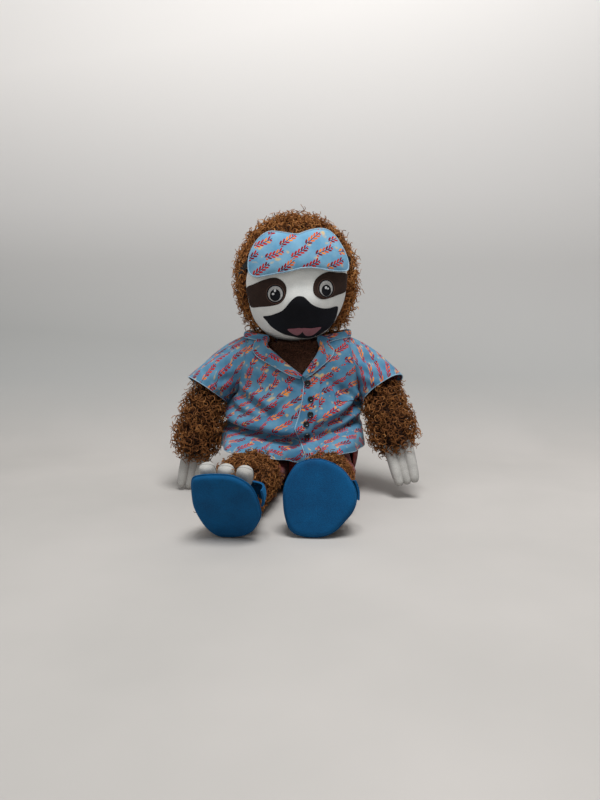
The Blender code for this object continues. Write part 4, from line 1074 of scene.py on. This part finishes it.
def make_chest():
    closed_torso("chest", CHEST_FORM, CHEST, "torso_skin torso_stuffing pellet_bag")
    closed_torso("shorts_rear", SEAT_FORM, SHORTS, "shorts_seat")
    rng = np.random.default_rng(5)
    low = V_BOTTOM + CHEST_FROM
    height = low + (TORSO_HEIGHT - low) * rng.random(CHEST_CURLS)
    spread = 2 * rng.random(CHEST_CURLS) - 1
    edge = np.where(spread > 0, front_edge(height, "left"), front_edge(height, "right"))
    angle = front_line(height) + np.abs(spread) * (edge - front_line(height))
    spots = torso(height, angle, CHEST_FORM[2])
    normals = unit(stack(np.sin(angle), -np.cos(angle), 0.1))
    curls("chest_pile", spots, normals, "torso", CHEST_FUR, CHEST_CURL, 0.5, 71, CHEST_CURL_RADIUS,
          CHEST_WIRE, "chest_pile")


# Shirt

V_BOTTOM = 0.1575
# How far the front edges stand apart at the neck: the wearer's left and right
V_ANGLES = {"left": math.radians(27), "right": math.radians(36)}
HEM_ANGLES = np.radians((-180, -100, -80, -62, -30, -16, -4, 8, 14, 24, 60, 72, 85, 100, 180))
HEM_HEIGHTS = (
    0.056, 0.053, 0.0590, 0.0618, 0.0618, 0.0545, 0.048, 0.046,
    0.055, 0.0622, 0.0622, 0.0612, 0.057, 0.053, 0.056,
)
# How far the cloth stands off the torso, and the least that it does
SHIRT_EASE = 0.0046
LEAST_EASE = 0.0022
BILLOW = 0.0085
BILLOW_LOW = 0.105
BILLOW_HIGH = 0.155
# Below this height, over this length, the cloth hangs free: it flares on the sloth's right and waves
FALL_FROM = 0.16
FALL_LENGTH = 0.10
FLARE = 0.0170
# The size of each wave, its turns round the body, its slant and its phase
WAVES = ((0.0022, 9, 14, 0.6), (0.0012, 17, 55, 1.0))
RIPPLE = 0.0007
# The deep fold at the waist, by angle, and how deep it is there
TUCK_ANGLES = np.radians((-180, -100, -4, 12, 45, 90, 180))
TUCK_HEIGHTS = (0.096, 0.096, 0.0720, 0.076, 0.092, 0.098, 0.096)
TUCK_DEPTHS = (0.5, 1.15, 1.25, 0.4, 0.30, 0.6, 0.5)
TUCK_HALF_HEIGHT = 0.0056
TUCK = 0.0145
BULGE = 0.0050
# The lap over the thighs, and the tip between them
LAP = 0.038
LAP_LENGTH = 0.022
TIP = 0.018
TIP_LOW = 0.050
TIP_HIGH = 0.085
TIP_ANGLE = math.radians(9)
# Where the left front's edge runs, from the hem up
FRONT_HEIGHTS = (0.050, 0.090, 0.118, 0.148, 0.160, 0.200)
FRONT_ANGLES = np.radians((8.0, -2.1, 2.8, 5.6, 3.5, 0.0))
FRONT_OVERLAP = math.radians(5)
FRONT_OVERLAP_TO = 0.17
YOKE_SHARE = -0.1
SHOULDER_FROM = 0.150
SHOULDER_OUT = 0.018
SHOULDER_UP = 0.0085
# The neck, and how far it is pulled to the sloth's right, at its left and its right
NECK_EASE = 0.0030
NECK_UP = 0.004
NECK_SIDE_UP = 0.003
ASKEW = (0.0025, 0.0075)
ASKEW_FROM = 0.178
ARMHOLE_RADIUS = 0.0400
ARMHOLE_FADE = 0.019
ARMHOLE_RIM = 0.004
ARMHOLE_OUT = 0.0015
ARMHOLE_IN = -0.06
# Ends of each crease as angle and height, its width and its depth
CREASES = (
    ((-66, 0.084), (-24, 0.064), 0.007, 0.0040),
    ((74, 0.132), (16, 0.094), 0.009, 0.0105),
    ((66, 0.104), (26, 0.082), 0.007, 0.0060),
    ((-70, 0.146), (-20, 0.112), 0.0075, 0.0075),
    ((-74, 0.122), (-34, 0.104), 0.006, 0.0050),
    ((28, 0.154), (68, 0.118), 0.007, 0.0055),
    ((-30, 0.100), (-6, 0.134), 0.006, 0.0035),
    ((150, 0.130), (120, 0.090), 0.010, 0.0045),
    ((-150, 0.128), (-118, 0.095), 0.010, 0.0045),
    ((165, 0.100), (200, 0.085), 0.011, 0.0045),
)
CREASE_RADIUS = 0.08
# How far the pieces laid over the fronts stand off them
LEFT_LIFT = 0.0022
POCKET_LIFT = 0.0036
BUTTON_LIFT = 0.0046
HEM_PROUD = 0.0005
SLEEVE_HEM_PROUD = 0.0006
EDGE_RADIUS = 0.0008
COLLAR_EDGE_RADIUS = 0.0007
PLACKET_TOP_GAP = 0.001
PLACKET_LOW = 0.050
PLACKET_START = math.radians(0.7)
PLACKET_TURN = math.radians(13)
POCKET_ANGLES = np.radians((32, 58))
POCKET_HEIGHTS = (0.168, 0.124)


def wrap(angle):
    return (angle + math.pi) % FULL_TURN - math.pi


def hem(angle):
    return np.interp(wrap(angle), HEM_ANGLES, HEM_HEIGHTS)


def shirt_height(angle, share):
    return TORSO_HEIGHT + (hem(angle) - TORSO_HEIGHT) * np.maximum(share, 0)


def shirt_share(angle, height):
    return (TORSO_HEIGHT - height) / (TORSO_HEIGHT - hem(angle))


def crease_depth(angle, height):
    """Folds pressed across the cloth: it bulges over each and dips under it."""
    total = 0.0
    for (a, low_end), (b, high_end), width, depth in CREASES:
        middle = math.radians((a + b) / 2)
        turned = wrap(angle - middle) + middle
        start = np.array((math.radians(a) * CREASE_RADIUS, low_end))
        along = np.array((math.radians(b) * CREASE_RADIUS, high_end)) - start
        length = math.hypot(*along)
        along = along / length
        spot = stack(turned * CREASE_RADIUS, height) - start
        run = spot @ along
        wave = spot @ (-along[1], along[0]) * np.sign(along[0]) / width
        ends = fade(np.minimum(run, length - run), -0.25 * length, 0.35 * length)
        total = total + depth * ends * (1.6 * wave - 0.25) * np.exp(-wave ** 2)
    return total


def shirt_ease(angle, height, above):
    """How far the cloth stands off the torso, with its folds."""
    turned = wrap(angle)
    fall = np.clip((FALL_FROM - height) / FALL_LENGTH, 0, 1)
    billow = BILLOW * fade(-height, -BILLOW_HIGH, -BILLOW_LOW)
    ease = SHIRT_EASE + billow * (1 - 0.85 * fade(turned, 0.6, 1.4))
    ease = ease + FLARE * fall ** 2 * np.maximum(0, -np.sin(angle)) ** 1.5
    for size, turns, slant, phase in WAVES:
        ease = ease + fall ** 1.5 * size * np.cos(turns * angle + slant * height + phase)
    ease = ease + RIPPLE * np.sin(90 * height + 4 * np.sin(3 * angle)) * np.cos(5 * angle + 60 * height)
    bulge = BULGE * np.exp(-((above - 2.4 * TUCK_HALF_HEIGHT) / (1.6 * TUCK_HALF_HEIGHT)) ** 2)
    tuck = TUCK * np.exp(-(above / TUCK_HALF_HEIGHT) ** 2)
    ease = ease + crease_depth(angle, height) + np.interp(turned, TUCK_ANGLES, TUCK_DEPTHS) * (bulge - tuck)
    return np.maximum(ease, LEAST_EASE)


def shirt(angle, share, lift=0.0):
    """Points of the shirt: share runs from the neck, below 0, over the shoulder to the hem."""
    height = shirt_height(angle, share)
    turned = wrap(angle)
    above = height - np.interp(turned, TUCK_ANGLES, TUCK_HEIGHTS)
    side_share = np.sin(angle) ** 2
    rise = side_share * fade(height, SHOULDER_FROM, TORSO_HEIGHT)
    points = torso(height, angle, shirt_ease(angle, height, above) + lift)
    askew = np.where(turned > 0, *ASKEW) * side_share
    pushed = SHOULDER_OUT * np.sign(np.sin(angle)) * rise
    points[..., 0] += pushed - askew * fade(height, ASKEW_FROM, TORSO_HEIGHT)
    points[..., 2] += SHOULDER_UP * rise
    around = np.abs(turned)
    lap = fade(-above, 0.0, LAP_LENGTH) * fade(around, math.radians(4), 0.4) * fade(-around, -1.35, -0.9)
    tip = np.exp(-((turned - TIP_ANGLE) / 0.2) ** 2) * fade(-height, -TIP_HIGH, -TIP_LOW)
    points[..., 1] -= LAP * lap + TIP * tip
    neck = torso(TORSO_HEIGHT + 0 * angle, angle, NECK_EASE + lift)
    neck[..., 0] -= askew
    neck[..., 2] += NECK_UP + NECK_SIDE_UP * side_share
    points = points + (neck - points) * np.clip(share / YOKE_SHARE, 0, 1)[..., None]
    for side, sign in SIDES.items():
        outward = np.array(SHOULDERS[side].col[0][:3]) * sign
        away = points - np.array(SHOULDERS[side].translation)
        out = away @ outward
        flat = np.linalg.norm(away - out[..., None] * outward, axis=-1)
        weight = fade(-flat, -ARMHOLE_RADIUS - ARMHOLE_FADE, -ARMHOLE_RADIUS) * (out > ARMHOLE_IN)
        wanted = ARMHOLE_OUT + lift * fade(flat, ARMHOLE_RADIUS - ARMHOLE_RIM, ARMHOLE_RADIUS)
        points = points + ((wanted - out) * weight)[..., None] * outward
    return points


def front_line(height):
    return np.interp(height, FRONT_HEIGHTS, FRONT_ANGLES)


def front_edge(height, side):
    """Angle of a front's edge, which leaves the line between the fronts above the V."""
    open_share = np.clip((height - V_BOTTOM) / (TORSO_HEIGHT - V_BOTTOM), 0, 1)
    return front_line(height) + SIDES[side] * V_ANGLES[side] * open_share


def shirt_grid(first, last, columns, front=None, rows=80, lift=0.0, top=YOKE_SHARE):
    along = np.linspace(0, 1, columns)[None]
    share = np.linspace(top, 1, rows)[:, None]
    angle = first + (last - first) * along + 0 * share
    height = shirt_height(angle, share)
    if front == "left":
        angle = angle + front_edge(height, front) * (1 - along)
    if front == "right":
        overlap = FRONT_OVERLAP * fade(-height, -FRONT_OVERLAP_TO, -V_BOTTOM)
        angle = angle + (front_edge(height, front) + overlap) * along
    return shirt(angle, share + 0 * along, lift)


def hemmed(grid, band=5, proud=HEM_PROUD):
    """A grid of cloth whose last rows are turned under, and so stand a little proud."""
    grid = grid.copy()
    grid[-band:] -= grid_normals(grid)[-band:] * proud
    return grid


def make_shirt():
    right = hemmed(shirt_grid(-QUARTER_TURN, 0, 80, "right"))
    left = hemmed(shirt_grid(0, QUARTER_TURN, 80, "left", lift=LEFT_LIFT))
    back = hemmed(shirt_grid(QUARTER_TURN, 3 * QUARTER_TURN, 120))
    cloth("shirt_right", right, SHADED_PRINT, "torso", "shirt_front_right", "chest")
    cloth("shirt_left", left, SHADED_PRINT, "torso", "shirt_front_left", "chest")
    cloth("shirt_rear", back, SHADED_PRINT, "torso", "shirt_back", "chest")
    height = np.linspace(V_BOTTOM - PLACKET_TOP_GAP, PLACKET_LOW, 60)[:, None]
    angle = front_line(height) + PLACKET_START + PLACKET_TURN * np.linspace(0, 1, 14)
    placket = shirt(angle, np.minimum(shirt_share(angle, height), 0.985), POCKET_LIFT)
    cloth("shirt_placket", placket, SHADED_PRINT, "torso", "placket", "shirt_left", THIN_CLOTH)
    height = np.linspace(*POCKET_HEIGHTS, 24)[:, None]
    angle = np.linspace(*POCKET_ANGLES, 20) + 0 * height
    pocket = shirt(angle, shirt_share(angle, height), POCKET_LIFT)
    cloth("shirt_pocket", pocket, SHADED_PRINT, "torso", "pocket", "shirt_left", THIN_CLOTH)
    make_collar()
    lines = {"left": np.concatenate([left[:, 0], left[-1, 1:]]), "right": right[-1], "back": back[-1]}
    for name, line in lines.items():
        tube(f"shirt_edge_{name}", line, EDGE_RADIUS, 6, EDGE, "torso", "shirt")
    make_buttons()


# Along half of the collar, from the bottom of the V to the nape: its width and how high it stands
COLLAR_PLACES = (0, 0.06, 0.30, 0.52, 0.58, 0.66, 1.0)
COLLAR_WIDTHS = (0.0035, 0.0065, 0.0120, 0.0120, 0.0120, 0.0140, 0.0175)
COLLAR_STANDS = (0.0012, 0.0020, 0.0040, 0.0060, 0.0070, 0.0085, 0.0070)
# Its rows, from the neck's edge outwards: share of the width, distance off the torso and share of the stand
COLLAR_ROWS = (
    (0.0, 0.0020, 0.0), (0.0, 0.0024, 0.55), (0.03, 0.0040, 0.95), (0.08, 0.0062, 1.0), (0.18, 0.0072, 0.72),
    (0.32, 0.0074, 0.42), (0.52, 0.0070, 0.20), (0.76, 0.0064, 0.07), (1.0, 0.0058, 0.0),
)
COLLAR_RADIUS = 0.066
# How far down the yoke reaches in front, and how much farther at the sides
YOKE = 0.004
YOKE_SIDE = 0.024
YOKE_FADE = 0.012


def make_collar():
    """A camp collar: it stands on the neck's edge, folds over, and ends in lapels along the V."""
    heights = V_BOTTOM + (TORSO_HEIGHT - V_BOTTOM) * np.linspace(0, 1, 40)
    around = np.linspace(V_ANGLES["left"], FULL_TURN - V_ANGLES["right"], 90)[1:-1]
    angle = np.concatenate([
        front_edge(heights, "left"), around, (FULL_TURN + front_edge(heights, "right"))[::-1],
    ])
    height = np.concatenate([heights, np.full(len(around), TORSO_HEIGHT), heights[::-1]])
    path = stack(angle * COLLAR_RADIUS, height)
    tangent = unit(np.gradient(path, axis=0))
    outward = stack(tangent[:, 1], -tangent[:, 0])
    padded = np.pad(outward, ((6, 6), (0, 0)), "edge")
    outward = unit(sum(padded[shift:shift + len(outward)] for shift in range(13)))
    run = np.arange(len(path)) / (len(path) - 1)
    place = 2 * np.minimum(run, 1 - run)
    width = np.interp(place, COLLAR_PLACES, COLLAR_WIDTHS)
    stand = np.interp(place, COLLAR_PLACES, COLLAR_STANDS)
    onto_yoke = fade(height, TORSO_HEIGHT - YOKE_FADE, TORSO_HEIGHT)
    yoke = YOKE + YOKE_SIDE * np.sin(angle) ** 2
    grid = []
    for share, lift, up in COLLAR_ROWS:
        turned, level = (path + outward * (width * share)[:, None]).T / ((COLLAR_RADIUS,), (1,))
        down = TORSO_HEIGHT - level
        below = np.maximum(down - yoke * onto_yoke, 0) / (TORSO_HEIGHT - hem(turned))
        sunk = np.where(below > 0, below, YOKE_SHARE * (1 - np.clip(down / yoke, 0, 1)) * onto_yoke)
        points = shirt(turned, sunk, lift)
        points[:, 2] += stand * up
        grid.append(points)
    cloth("shirt_collar", np.array(grid), SHADED_PRINT, "torso", "collar", "shirt_left shirt_right", COLLAR_CLOTH)
    tube("collar_edge", grid[-1], COLLAR_EDGE_RADIUS, 6, EDGE, "torso", "shirt")


BUTTON_PIXELS = ((307.4, 382.7), (310.9, 399), (310.5, 414.3), (305.9, 423.8), (307, 435.6))
BUTTON_RADIUS = 0.0040
# Share of the radius and height of each ring
BUTTON_RINGS = (
    (0.01, 0.0), (1.0, 0.0), (1.0, 0.0011), (0.93, 0.0018), (0.78, 0.0019), (0.68, 0.0013), (0.3, 0.0011),
    (0.02, 0.0011),
)
STITCH_UP = 0.0014
STITCH_RADIUS = 0.0003


def make_buttons():
    """Buttons with a raised rim, a shallow dish and crossed thread."""
    surface = shirt_grid(math.radians(-10), math.radians(30), 60, rows=200, lift=BUTTON_LIFT, top=0)
    normals = grid_normals(surface).reshape(-1, 3)
    flat = surface.reshape(-1, 3)
    sight = flat - np.array(CAMERA_PLACE)
    depth = sight @ CAMERA_FORWARD
    columns = FRAME_SIZE[0] / 2 + FOCAL_PIXELS * sight[:, 0] / depth
    rows = FRAME_SIZE[1] / 2 - FOCAL_PIXELS * (sight @ CAMERA_UP) / depth
    cosine, sine = circle(28)
    for number, (px, py) in enumerate(BUTTON_PIXELS, start=1):
        middle = flat[np.argmin((columns - px) ** 2 + (rows - py) ** 2)]
        near = np.linalg.norm(flat - middle, axis=1) < 1.6 * BUTTON_RADIUS
        normal = unit(normals[near].mean(0))
        normal = normal if normal[1] < 0 else -normal
        across = unit(np.cross((0, 0, 1.0), normal))
        over = np.cross(normal, across)
        ring = BUTTON_RADIUS * (cosine[:, None] * across + sine[:, None] * over)
        seat = middle + normal * np.max((flat[near] - middle) @ normal) * 0.6
        points, blocks = capped([seat + ring * scale + normal * rise for scale, rise in BUTTON_RINGS])
        make_piece(f"shirt_button_{number}", points, blocks, BUTTON, "torso", "button", f"button_{number}")
        for cross, way in enumerate((across - over, across + over)):
            ends = np.linspace(-0.3, 0.3, 5)[:, None] * unit(way) * BUTTON_RADIUS
            stitch = seat + normal * STITCH_UP + ends
            tube(f"button_thread_{number}_{cross}", stitch, STITCH_RADIUS, 6, THREAD, "torso", "button")


SLEEVE_REACH = {"left": 0.0365, "right": 0.0450}
SLEEVE_DROP = {"left": 0.0520, "right": 0.0490}
SLEEVE_RADIUS = 0.0315
SLEEVE_GRAIN = {"left": 0.0, "right": math.radians(70)}
SLEEVE_TURN = math.radians(69)
SLEEVE_CROWN = 0.0185
SLEEVE_CROWN_DEPTH = 0.004
SLEEVE_START = 0.0003
SLEEVE_PINCH = 0.0040
SLEEVE_FOLD = 0.0016
SLEEVE_WAVE = 0.0011
SLEEVE_RIPPLE = 0.0012


def sleeve_folds(side, around, share):
    """How far a sleeve's ring stands out in folds, less its pinch at the armpit."""
    swell = math.sin(math.pi * share)
    fold = SLEEVE_FOLD * swell * np.sin(5 * around + 3.0 * share + SIDES[side])
    fold = fold + SLEEVE_WAVE * share * np.sin(3 * around + 1.3 * SIDES[side])
    fold = fold + SLEEVE_RIPPLE * swell * np.sin(11 * around + 8 * share)
    pinch = SLEEVE_PINCH * math.exp(-((share - 0.35) / 0.2) ** 2) * np.exp(-((around - 4.1) / 0.35) ** 2)
    return fold - pinch


def make_sleeve(side):
    """From a round armhole over the shoulder's crown to a slanting cuff."""
    sign = SIDES[side]
    around = np.linspace(0, FULL_TURN, 100)
    cosine, sine = np.cos(around), np.sin(around)
    armhole = stack(SLEEVE_START, ARMHOLE_RADIUS * cosine, ARMHOLE_RADIUS * sine)
    cuff = stack(
        SLEEVE_REACH[side] + SLEEVE_RADIUS * sine * math.sin(SLEEVE_TURN), SLEEVE_RADIUS * cosine,
        SLEEVE_RADIUS * sine * math.cos(SLEEVE_TURN) - SLEEVE_DROP[side],
    )
    crown = stack(0, SLEEVE_CROWN_DEPTH * cosine, SLEEVE_CROWN * np.maximum(0, sine) ** 1.2)
    middle = (armhole + cuff) / 2 + crown
    rows = []
    for share in np.linspace(0, 1, 48):
        ring = (1 - share) ** 2 * armhole + 2 * share * (1 - share) * middle + share ** 2 * cuff
        rows.append(ring + unit(ring - ring.mean(0)) * sleeve_folds(side, around, share)[:, None])
    grid = placed(SHOULDERS[side], np.array(rows) * (sign, 1, 1))
    grid = hemmed(grid[:, ::-sign], 7, SLEEVE_HEM_PROUD)
    cloth(f"shirt_sleeve_{side}", grid, SHADED_PRINT, f"arm_{side}", f"sleeve_{side}", f"arm_hide_{side}",
          grain=SLEEVE_GRAIN[side])
    tube(f"sleeve_hem_{side}", grid[-1, :-1], EDGE_RADIUS, 6, EDGE, f"arm_{side}", "shirt", closed=True)


# Limbs

# Share of a claw's length and of its girth, ring by ring
CLAW_RINGS = (
    (0.0, 0.86), (0.12, 0.92), (0.35, 1.0), (0.6, 1.0), (0.78, 0.95), (0.88, 0.86), (0.94, 0.72),
    (0.98, 0.50), (1.0, 0.22),
)
SEAM_RADIUS = 0.00035
# Length, half width and half depth of the claws, and how far apart they sit
HAND_CLAW = (0.058, 0.0067, 0.0062)
HAND_PITCH = 0.0127
HAND_ROOT = 0.014
HAND_BOW = 0.0015
TOE_LENGTH = {"left": 0.0130, "right": 0.0215}
TOE_SIZE = (0.0088, 0.0084)
TOE_PITCH = 0.0176
TOE_ROOT = (0.0125, 0.016)
ARM_DEPTH = 0.0085
ARM_SPACING = 0.0029
ARM_CURL = 0.0136
# How far each arm's pile lies out of its solid's line, and how far down it hangs over the hand
ARM_LEAN = {"left": -0.0060, "right": 0.0025}
ARM_LEAN_DOWN = (0.02, 0.07)
ARM_HANG = {"left": 0.0, "right": 0.0060}
ARM_HANG_DOWN = (0.09, 0.14)
CUFF_GAP = 0.002


def claw(name, matrix, length, wide, deep, body, replaces):
    """A stuffed finger along a frame's Z: blunt at its tip and sewn along both sides."""
    angle = FULL_TURN * np.arange(24) / 24
    across = wide * np.cos(angle) * (1 + 0.035 * np.cos(2 * angle))
    rings = []
    for share, girth in CLAW_RINGS:
        rings.append(stack(girth * across, girth * deep * np.sin(angle), share * length))
    points, blocks = capped(placed(matrix, rings))
    make_piece(name, points, blocks, CLAW, body, "claw", replaces, fill=0.9)
    edge = np.array([(wide * girth * 1.045, 0, share * length) for share, girth in CLAW_RINGS[1:]])
    seam = np.concatenate([edge, edge[::-1] * (-1, 1, 1)])
    tube(f"{name}_seam", placed(matrix, seam), SEAM_RADIUS, 5, SEAM, body, "claw")


def make_arm(side):
    sign = SIDES[side]
    body = f"arm_{side}"

    def shift(local):
        lean = sign * ARM_LEAN[side] * fade(-local[:, 2], *ARM_LEAN_DOWN)
        return stack(lean, 0, -ARM_HANG[side] * fade(-local[:, 2], *ARM_HANG_DOWN))

    spots, normals = make_hide("arm", side, SHOULDERS[side], ARM_DEPTH, ARM_SPACING, 31, shift)
    cuff = placed(SHOULDERS[side], (sign * SLEEVE_REACH[side], 0, -SLEEVE_DROP[side]))
    opens = np.array(SHOULDERS[side])[:3, :3] @ (sign * math.cos(SLEEVE_TURN), 0, -math.sin(SLEEVE_TURN))
    keep = (spots - cuff) @ opens > -CUFF_GAP
    curls(f"arm_curls_{side}", spots[keep], normals[keep], body, SHADED_LIMB_FUR, ARM_CURL, 0.4, 41 + sign)
    make_sleeve(side)
    for step in range(3):
        across = ARM_REACH + 0.6 * min(0, ARM_LEAN[side]) + (step - 1) * HAND_PITCH
        root = Matrix.Translation((sign * across, HAND_BOW * (step % 2), HAND_ROOT - ARM_LENGTH))
        matrix = SHOULDERS[side] @ root @ rotation((step - 1) * 3 * sign, "Y") @ rotation(180, "X")
        claw(f"claw_{side}_{step + 1}", matrix, *HAND_CLAW, body, f"hand_claw_{side}_{step + 1}")


SOLE_PIXELS = {
    "right": (
        (192.1, 481.3), (194.8, 476.8), (202.7, 475.2), (211, 474.6), (220.4, 474.6), (228, 475.2),
        (234.6, 476.6), (244, 481.3), (251.1, 487.2), (255.8, 495.5), (259.3, 506.1), (260.5, 515.5),
        (257, 525), (251, 533.2), (241.6, 537.3), (226.3, 538.2), (215.7, 535.6), (206.2, 527.3),
        (199.2, 516.7), (194.4, 506.1), (192.3, 493.1),
    ),
    "left": (
        (308.9, 460.1), (318.3, 459.5), (326.6, 461.2), (336, 465.4), (344.3, 471.9), (350.2, 480.1),
        (354.9, 489.6), (356.1, 501.3), (352.5, 513.1), (345.4, 522.6), (337.2, 532), (327.8, 537.9),
        (314.8, 540.3), (300.6, 537.9), (291.2, 532), (286.5, 520.2), (284.1, 506.1), (284.1, 490.7),
        (287.6, 478.9), (294.7, 467.1), (300.6, 462.4),
    ),
}
# The sole's rings, from the foot outwards: scale and distance from the foot, then how it bulges
SOLE_WIDEST = 0.0040
SOLE_EDGE = ((0.2, 0.0006), (0.9, 0.0006), (0.97, 0.0012), (1.0, SOLE_WIDEST), (0.99, 0.0062), (0.97, 0.0078))
SOLE_FACE = 0.0086
SOLE_BULGE = 0.0012
SOLE_FLOOR = 0.0008
SOLE_RIM_FLOOR = 0.0014
SOLE_PIPING = 0.0009
SOLE_PIPING_FLOOR = 0.0016
STRAP_LOW = {"left": -0.012, "right": -0.002}
STRAP_WIDTH = 0.021
STRAP_SAG = {"left": 0.0, "right": 0.013}
STRAP_HALF_WIDTH = {"left": 0.0390, "right": 0.0355}
STRAP_SHIFT = {"left": 0.0, "right": 0.0035}
STRAP_DEPTH = 0.0313
STRAP_GAP = 0.0004


def make_slipper(side):
    body = f"slipper_{side}"
    matrix = SLIPPERS[side]
    normal = -matrix.col[1].to_3d()
    front = matrix.translation + normal * SOLE_WIDEST
    inverse = matrix.inverted()
    hits = [inverse @ on_plane(px, py, front, normal) for px, py in SOLE_PIXELS[side]]
    loop = smooth_loop([(hit.x, hit.z) for hit in hits], 96)
    centre = loop.mean(0)

    def ring(scale, rise, floor):
        spots = centre + (loop - centre) * scale
        points = placed(matrix, stack(spots[:, 0], -rise, spots[:, 1]))
        points[:, 2] = np.maximum(points[:, 2], floor)
        return points

    heights = ring(1, SOLE_WIDEST, -1)[:, 2]
    lowest = int(np.argmin(heights))
    sunk = max(0, (SOLE_RIM_FLOOR - heights[lowest]) / matrix[2][2])
    low = loop[:, 1] < centre[1]
    loop[low, 1] += sunk * (loop[low, 1] - centre[1]) / (loop[lowest, 1] - centre[1])
    bulge = [(scale, SOLE_FACE + SOLE_BULGE * (1 - scale ** 3)) for scale in np.linspace(0.93, 0.04, 14)]
    points, blocks = capped([ring(*row, SOLE_FLOOR) for row in (*SOLE_EDGE, *bulge)], flip=True)
    make_piece(f"sole_{side}", points, blocks, BLUE, body, "slipper", f"slipper_sole_{side}", fill=0.7)
    path = ring(1.004, SOLE_WIDEST, SOLE_PIPING_FLOOR)
    tube(f"sole_piping_{side}", path, SOLE_PIPING, 7, BLUE, body, "slipper", closed=True)
    angle = np.linspace(0, math.pi, 60)
    across = STRAP_HALF_WIDTH[side] * np.sign(np.cos(angle)) * np.abs(np.cos(angle)) ** 0.5
    behind = np.maximum(STRAP_DEPTH * np.abs(np.sin(angle)) ** 0.5, STRAP_GAP)
    rows = []
    for share in np.linspace(1, 0, 12):
        puff = 1 + 0.045 * math.sin(math.pi * share)
        height = STRAP_LOW[side] + STRAP_WIDTH * share - STRAP_SAG[side] * behind / behind.max()
        rows.append(stack(across * puff + STRAP_SHIFT[side], behind * puff, height))
    cloth(f"strap_{side}", placed(matrix, rows)[:, ::-1], BLUE, body, f"slipper_strap_{side}",
          f"leg_hide_{side}", SLIPPER_CLOTH, "slipper")


LEG_DEPTH = 0.007
LEG_SPACING = 0.0030
LEG_CURL = 0.0105
THIGH_SPREAD = {"left": 0.002, "right": 0.020}
# Where along the leg its spread begins and ends, and where the pile leaves the shorts and meets the sole
SPREAD_FROM = (0.030, 0.055)
SPREAD_TO = (-0.165, -0.10)
PILE_FROM = 0.058
PILE_TO_SOLE = 0.006
STRAP_BARE = 0.001
STRAP_BARE_DEPTH = 0.04
CUFF_LENGTH = 0.062
CUFF_START = 0.002
CUFF_SLANT = 0.005
CUFF_EASE = 0.0013
CUFF_TAPER = 0.0022
CUFF_SPREAD = 0.0045
CUFF_SPREADS = (0.032, 0.048)
CUFF_FLATTENS = (0.034, 0.052)
CUFF_CLOTH = 0.0011
CUFF_FOLD = 0.0007
CUFF_RIPPLE = 0.0005


def make_cuff(side):
    """A leg of the shorts: it closes round the hip and runs down the thigh."""
    around = np.linspace(0, FULL_TURN, 80)
    cosine, sine = np.cos(around), np.sin(around)
    girth = HIP_RADIUS + CUFF_EASE
    rows = []
    for turn in np.linspace(math.radians(4), QUARTER_TURN, 12)[:-1]:
        ring = girth * math.sin(turn)
        rows.append(stack(ring * cosine, girth * math.cos(turn), ring * sine))
    for share in np.linspace(0, 1, 34):
        fold = CUFF_FOLD * np.sin(5 * around + 3 * share) + CUFF_RIPPLE * np.sin(9 * around - 8 * share)
        girth = HIP_RADIUS + CUFF_EASE + fold * share - CUFF_TAPER * share ** 2
        along = -CUFF_START - CUFF_LENGTH * share - CUFF_SLANT * share * np.sin(around + 0.6)
        outside = np.maximum(0, SIDES[side] * cosine)
        spread = (CUFF_SPREAD + 0.8 * THIGH_SPREAD[side]) * outside * fade(-along, *CUFF_SPREADS)
        up = girth * sine
        up = up * (1 - 0.17 * fade(-along, *CUFF_FLATTENS) * (up > 0))
        rows.append(stack(girth * cosine + SIDES[side] * spread, along, up))
    grid = hemmed(placed(HIPS[side], rows), 3)
    cloth(f"shorts_cuff_{side}", grid, SHORTS, f"leg_{side}", f"shorts_leg_{side}", f"leg_hide_{side}",
          CUFF_CLOTH, "shorts")


def make_leg(side):
    sign = SIDES[side]
    body = f"leg_{side}"

    def shift(local):
        outward = np.maximum(0, sign * local[:, 0] / HIP_RADIUS)
        where = fade(-local[:, 1], *SPREAD_FROM) * fade(local[:, 1], *SPREAD_TO)
        return stack(sign * THIGH_SPREAD[side] * outward * where, 0, 0)

    spots, normals = make_hide("leg", side, HIPS[side], LEG_DEPTH, LEG_SPACING, 51, shift)
    local = placed(HIPS[side].inverted(), spots)
    foot = placed(SLIPPERS[side].inverted(), spots)
    over = foot[:, 2] - STRAP_LOW[side] + STRAP_SAG[side] * np.clip(foot[:, 1] / STRAP_DEPTH, 0, 1)
    strapped = (over > -STRAP_BARE) & (over < STRAP_WIDTH + STRAP_BARE) & (foot[:, 1] < STRAP_BARE_DEPTH)
    keep = (local[:, 1] < -PILE_FROM) & (foot[:, 1] > PILE_TO_SOLE) & ~strapped
    curls(f"leg_curls_{side}", spots[keep], normals[keep], body, SHADED_LIMB_FUR, LEG_CURL, 0.3, 61 + sign)
    for step in range(3):
        root = Matrix.Translation(((step - 1) * TOE_PITCH, *TOE_ROOT))
        matrix = FEET[side] @ root @ rotation((step - 1) * 9, "Y")
        stands_for = f"foot_claw_{side}_{step + 1}"
        claw(f"toe_{side}_{step + 1}", matrix, TOE_LENGTH[side], *TOE_SIZE, body, stands_for)
    make_cuff(side)


make_camera()
make_stage()
make_lights()
make_head()
make_face()
make_mask()
make_band()
make_chest()
make_shirt()
for side in SIDES:
    make_arm(side)
    make_leg(side)
    make_slipper(side)
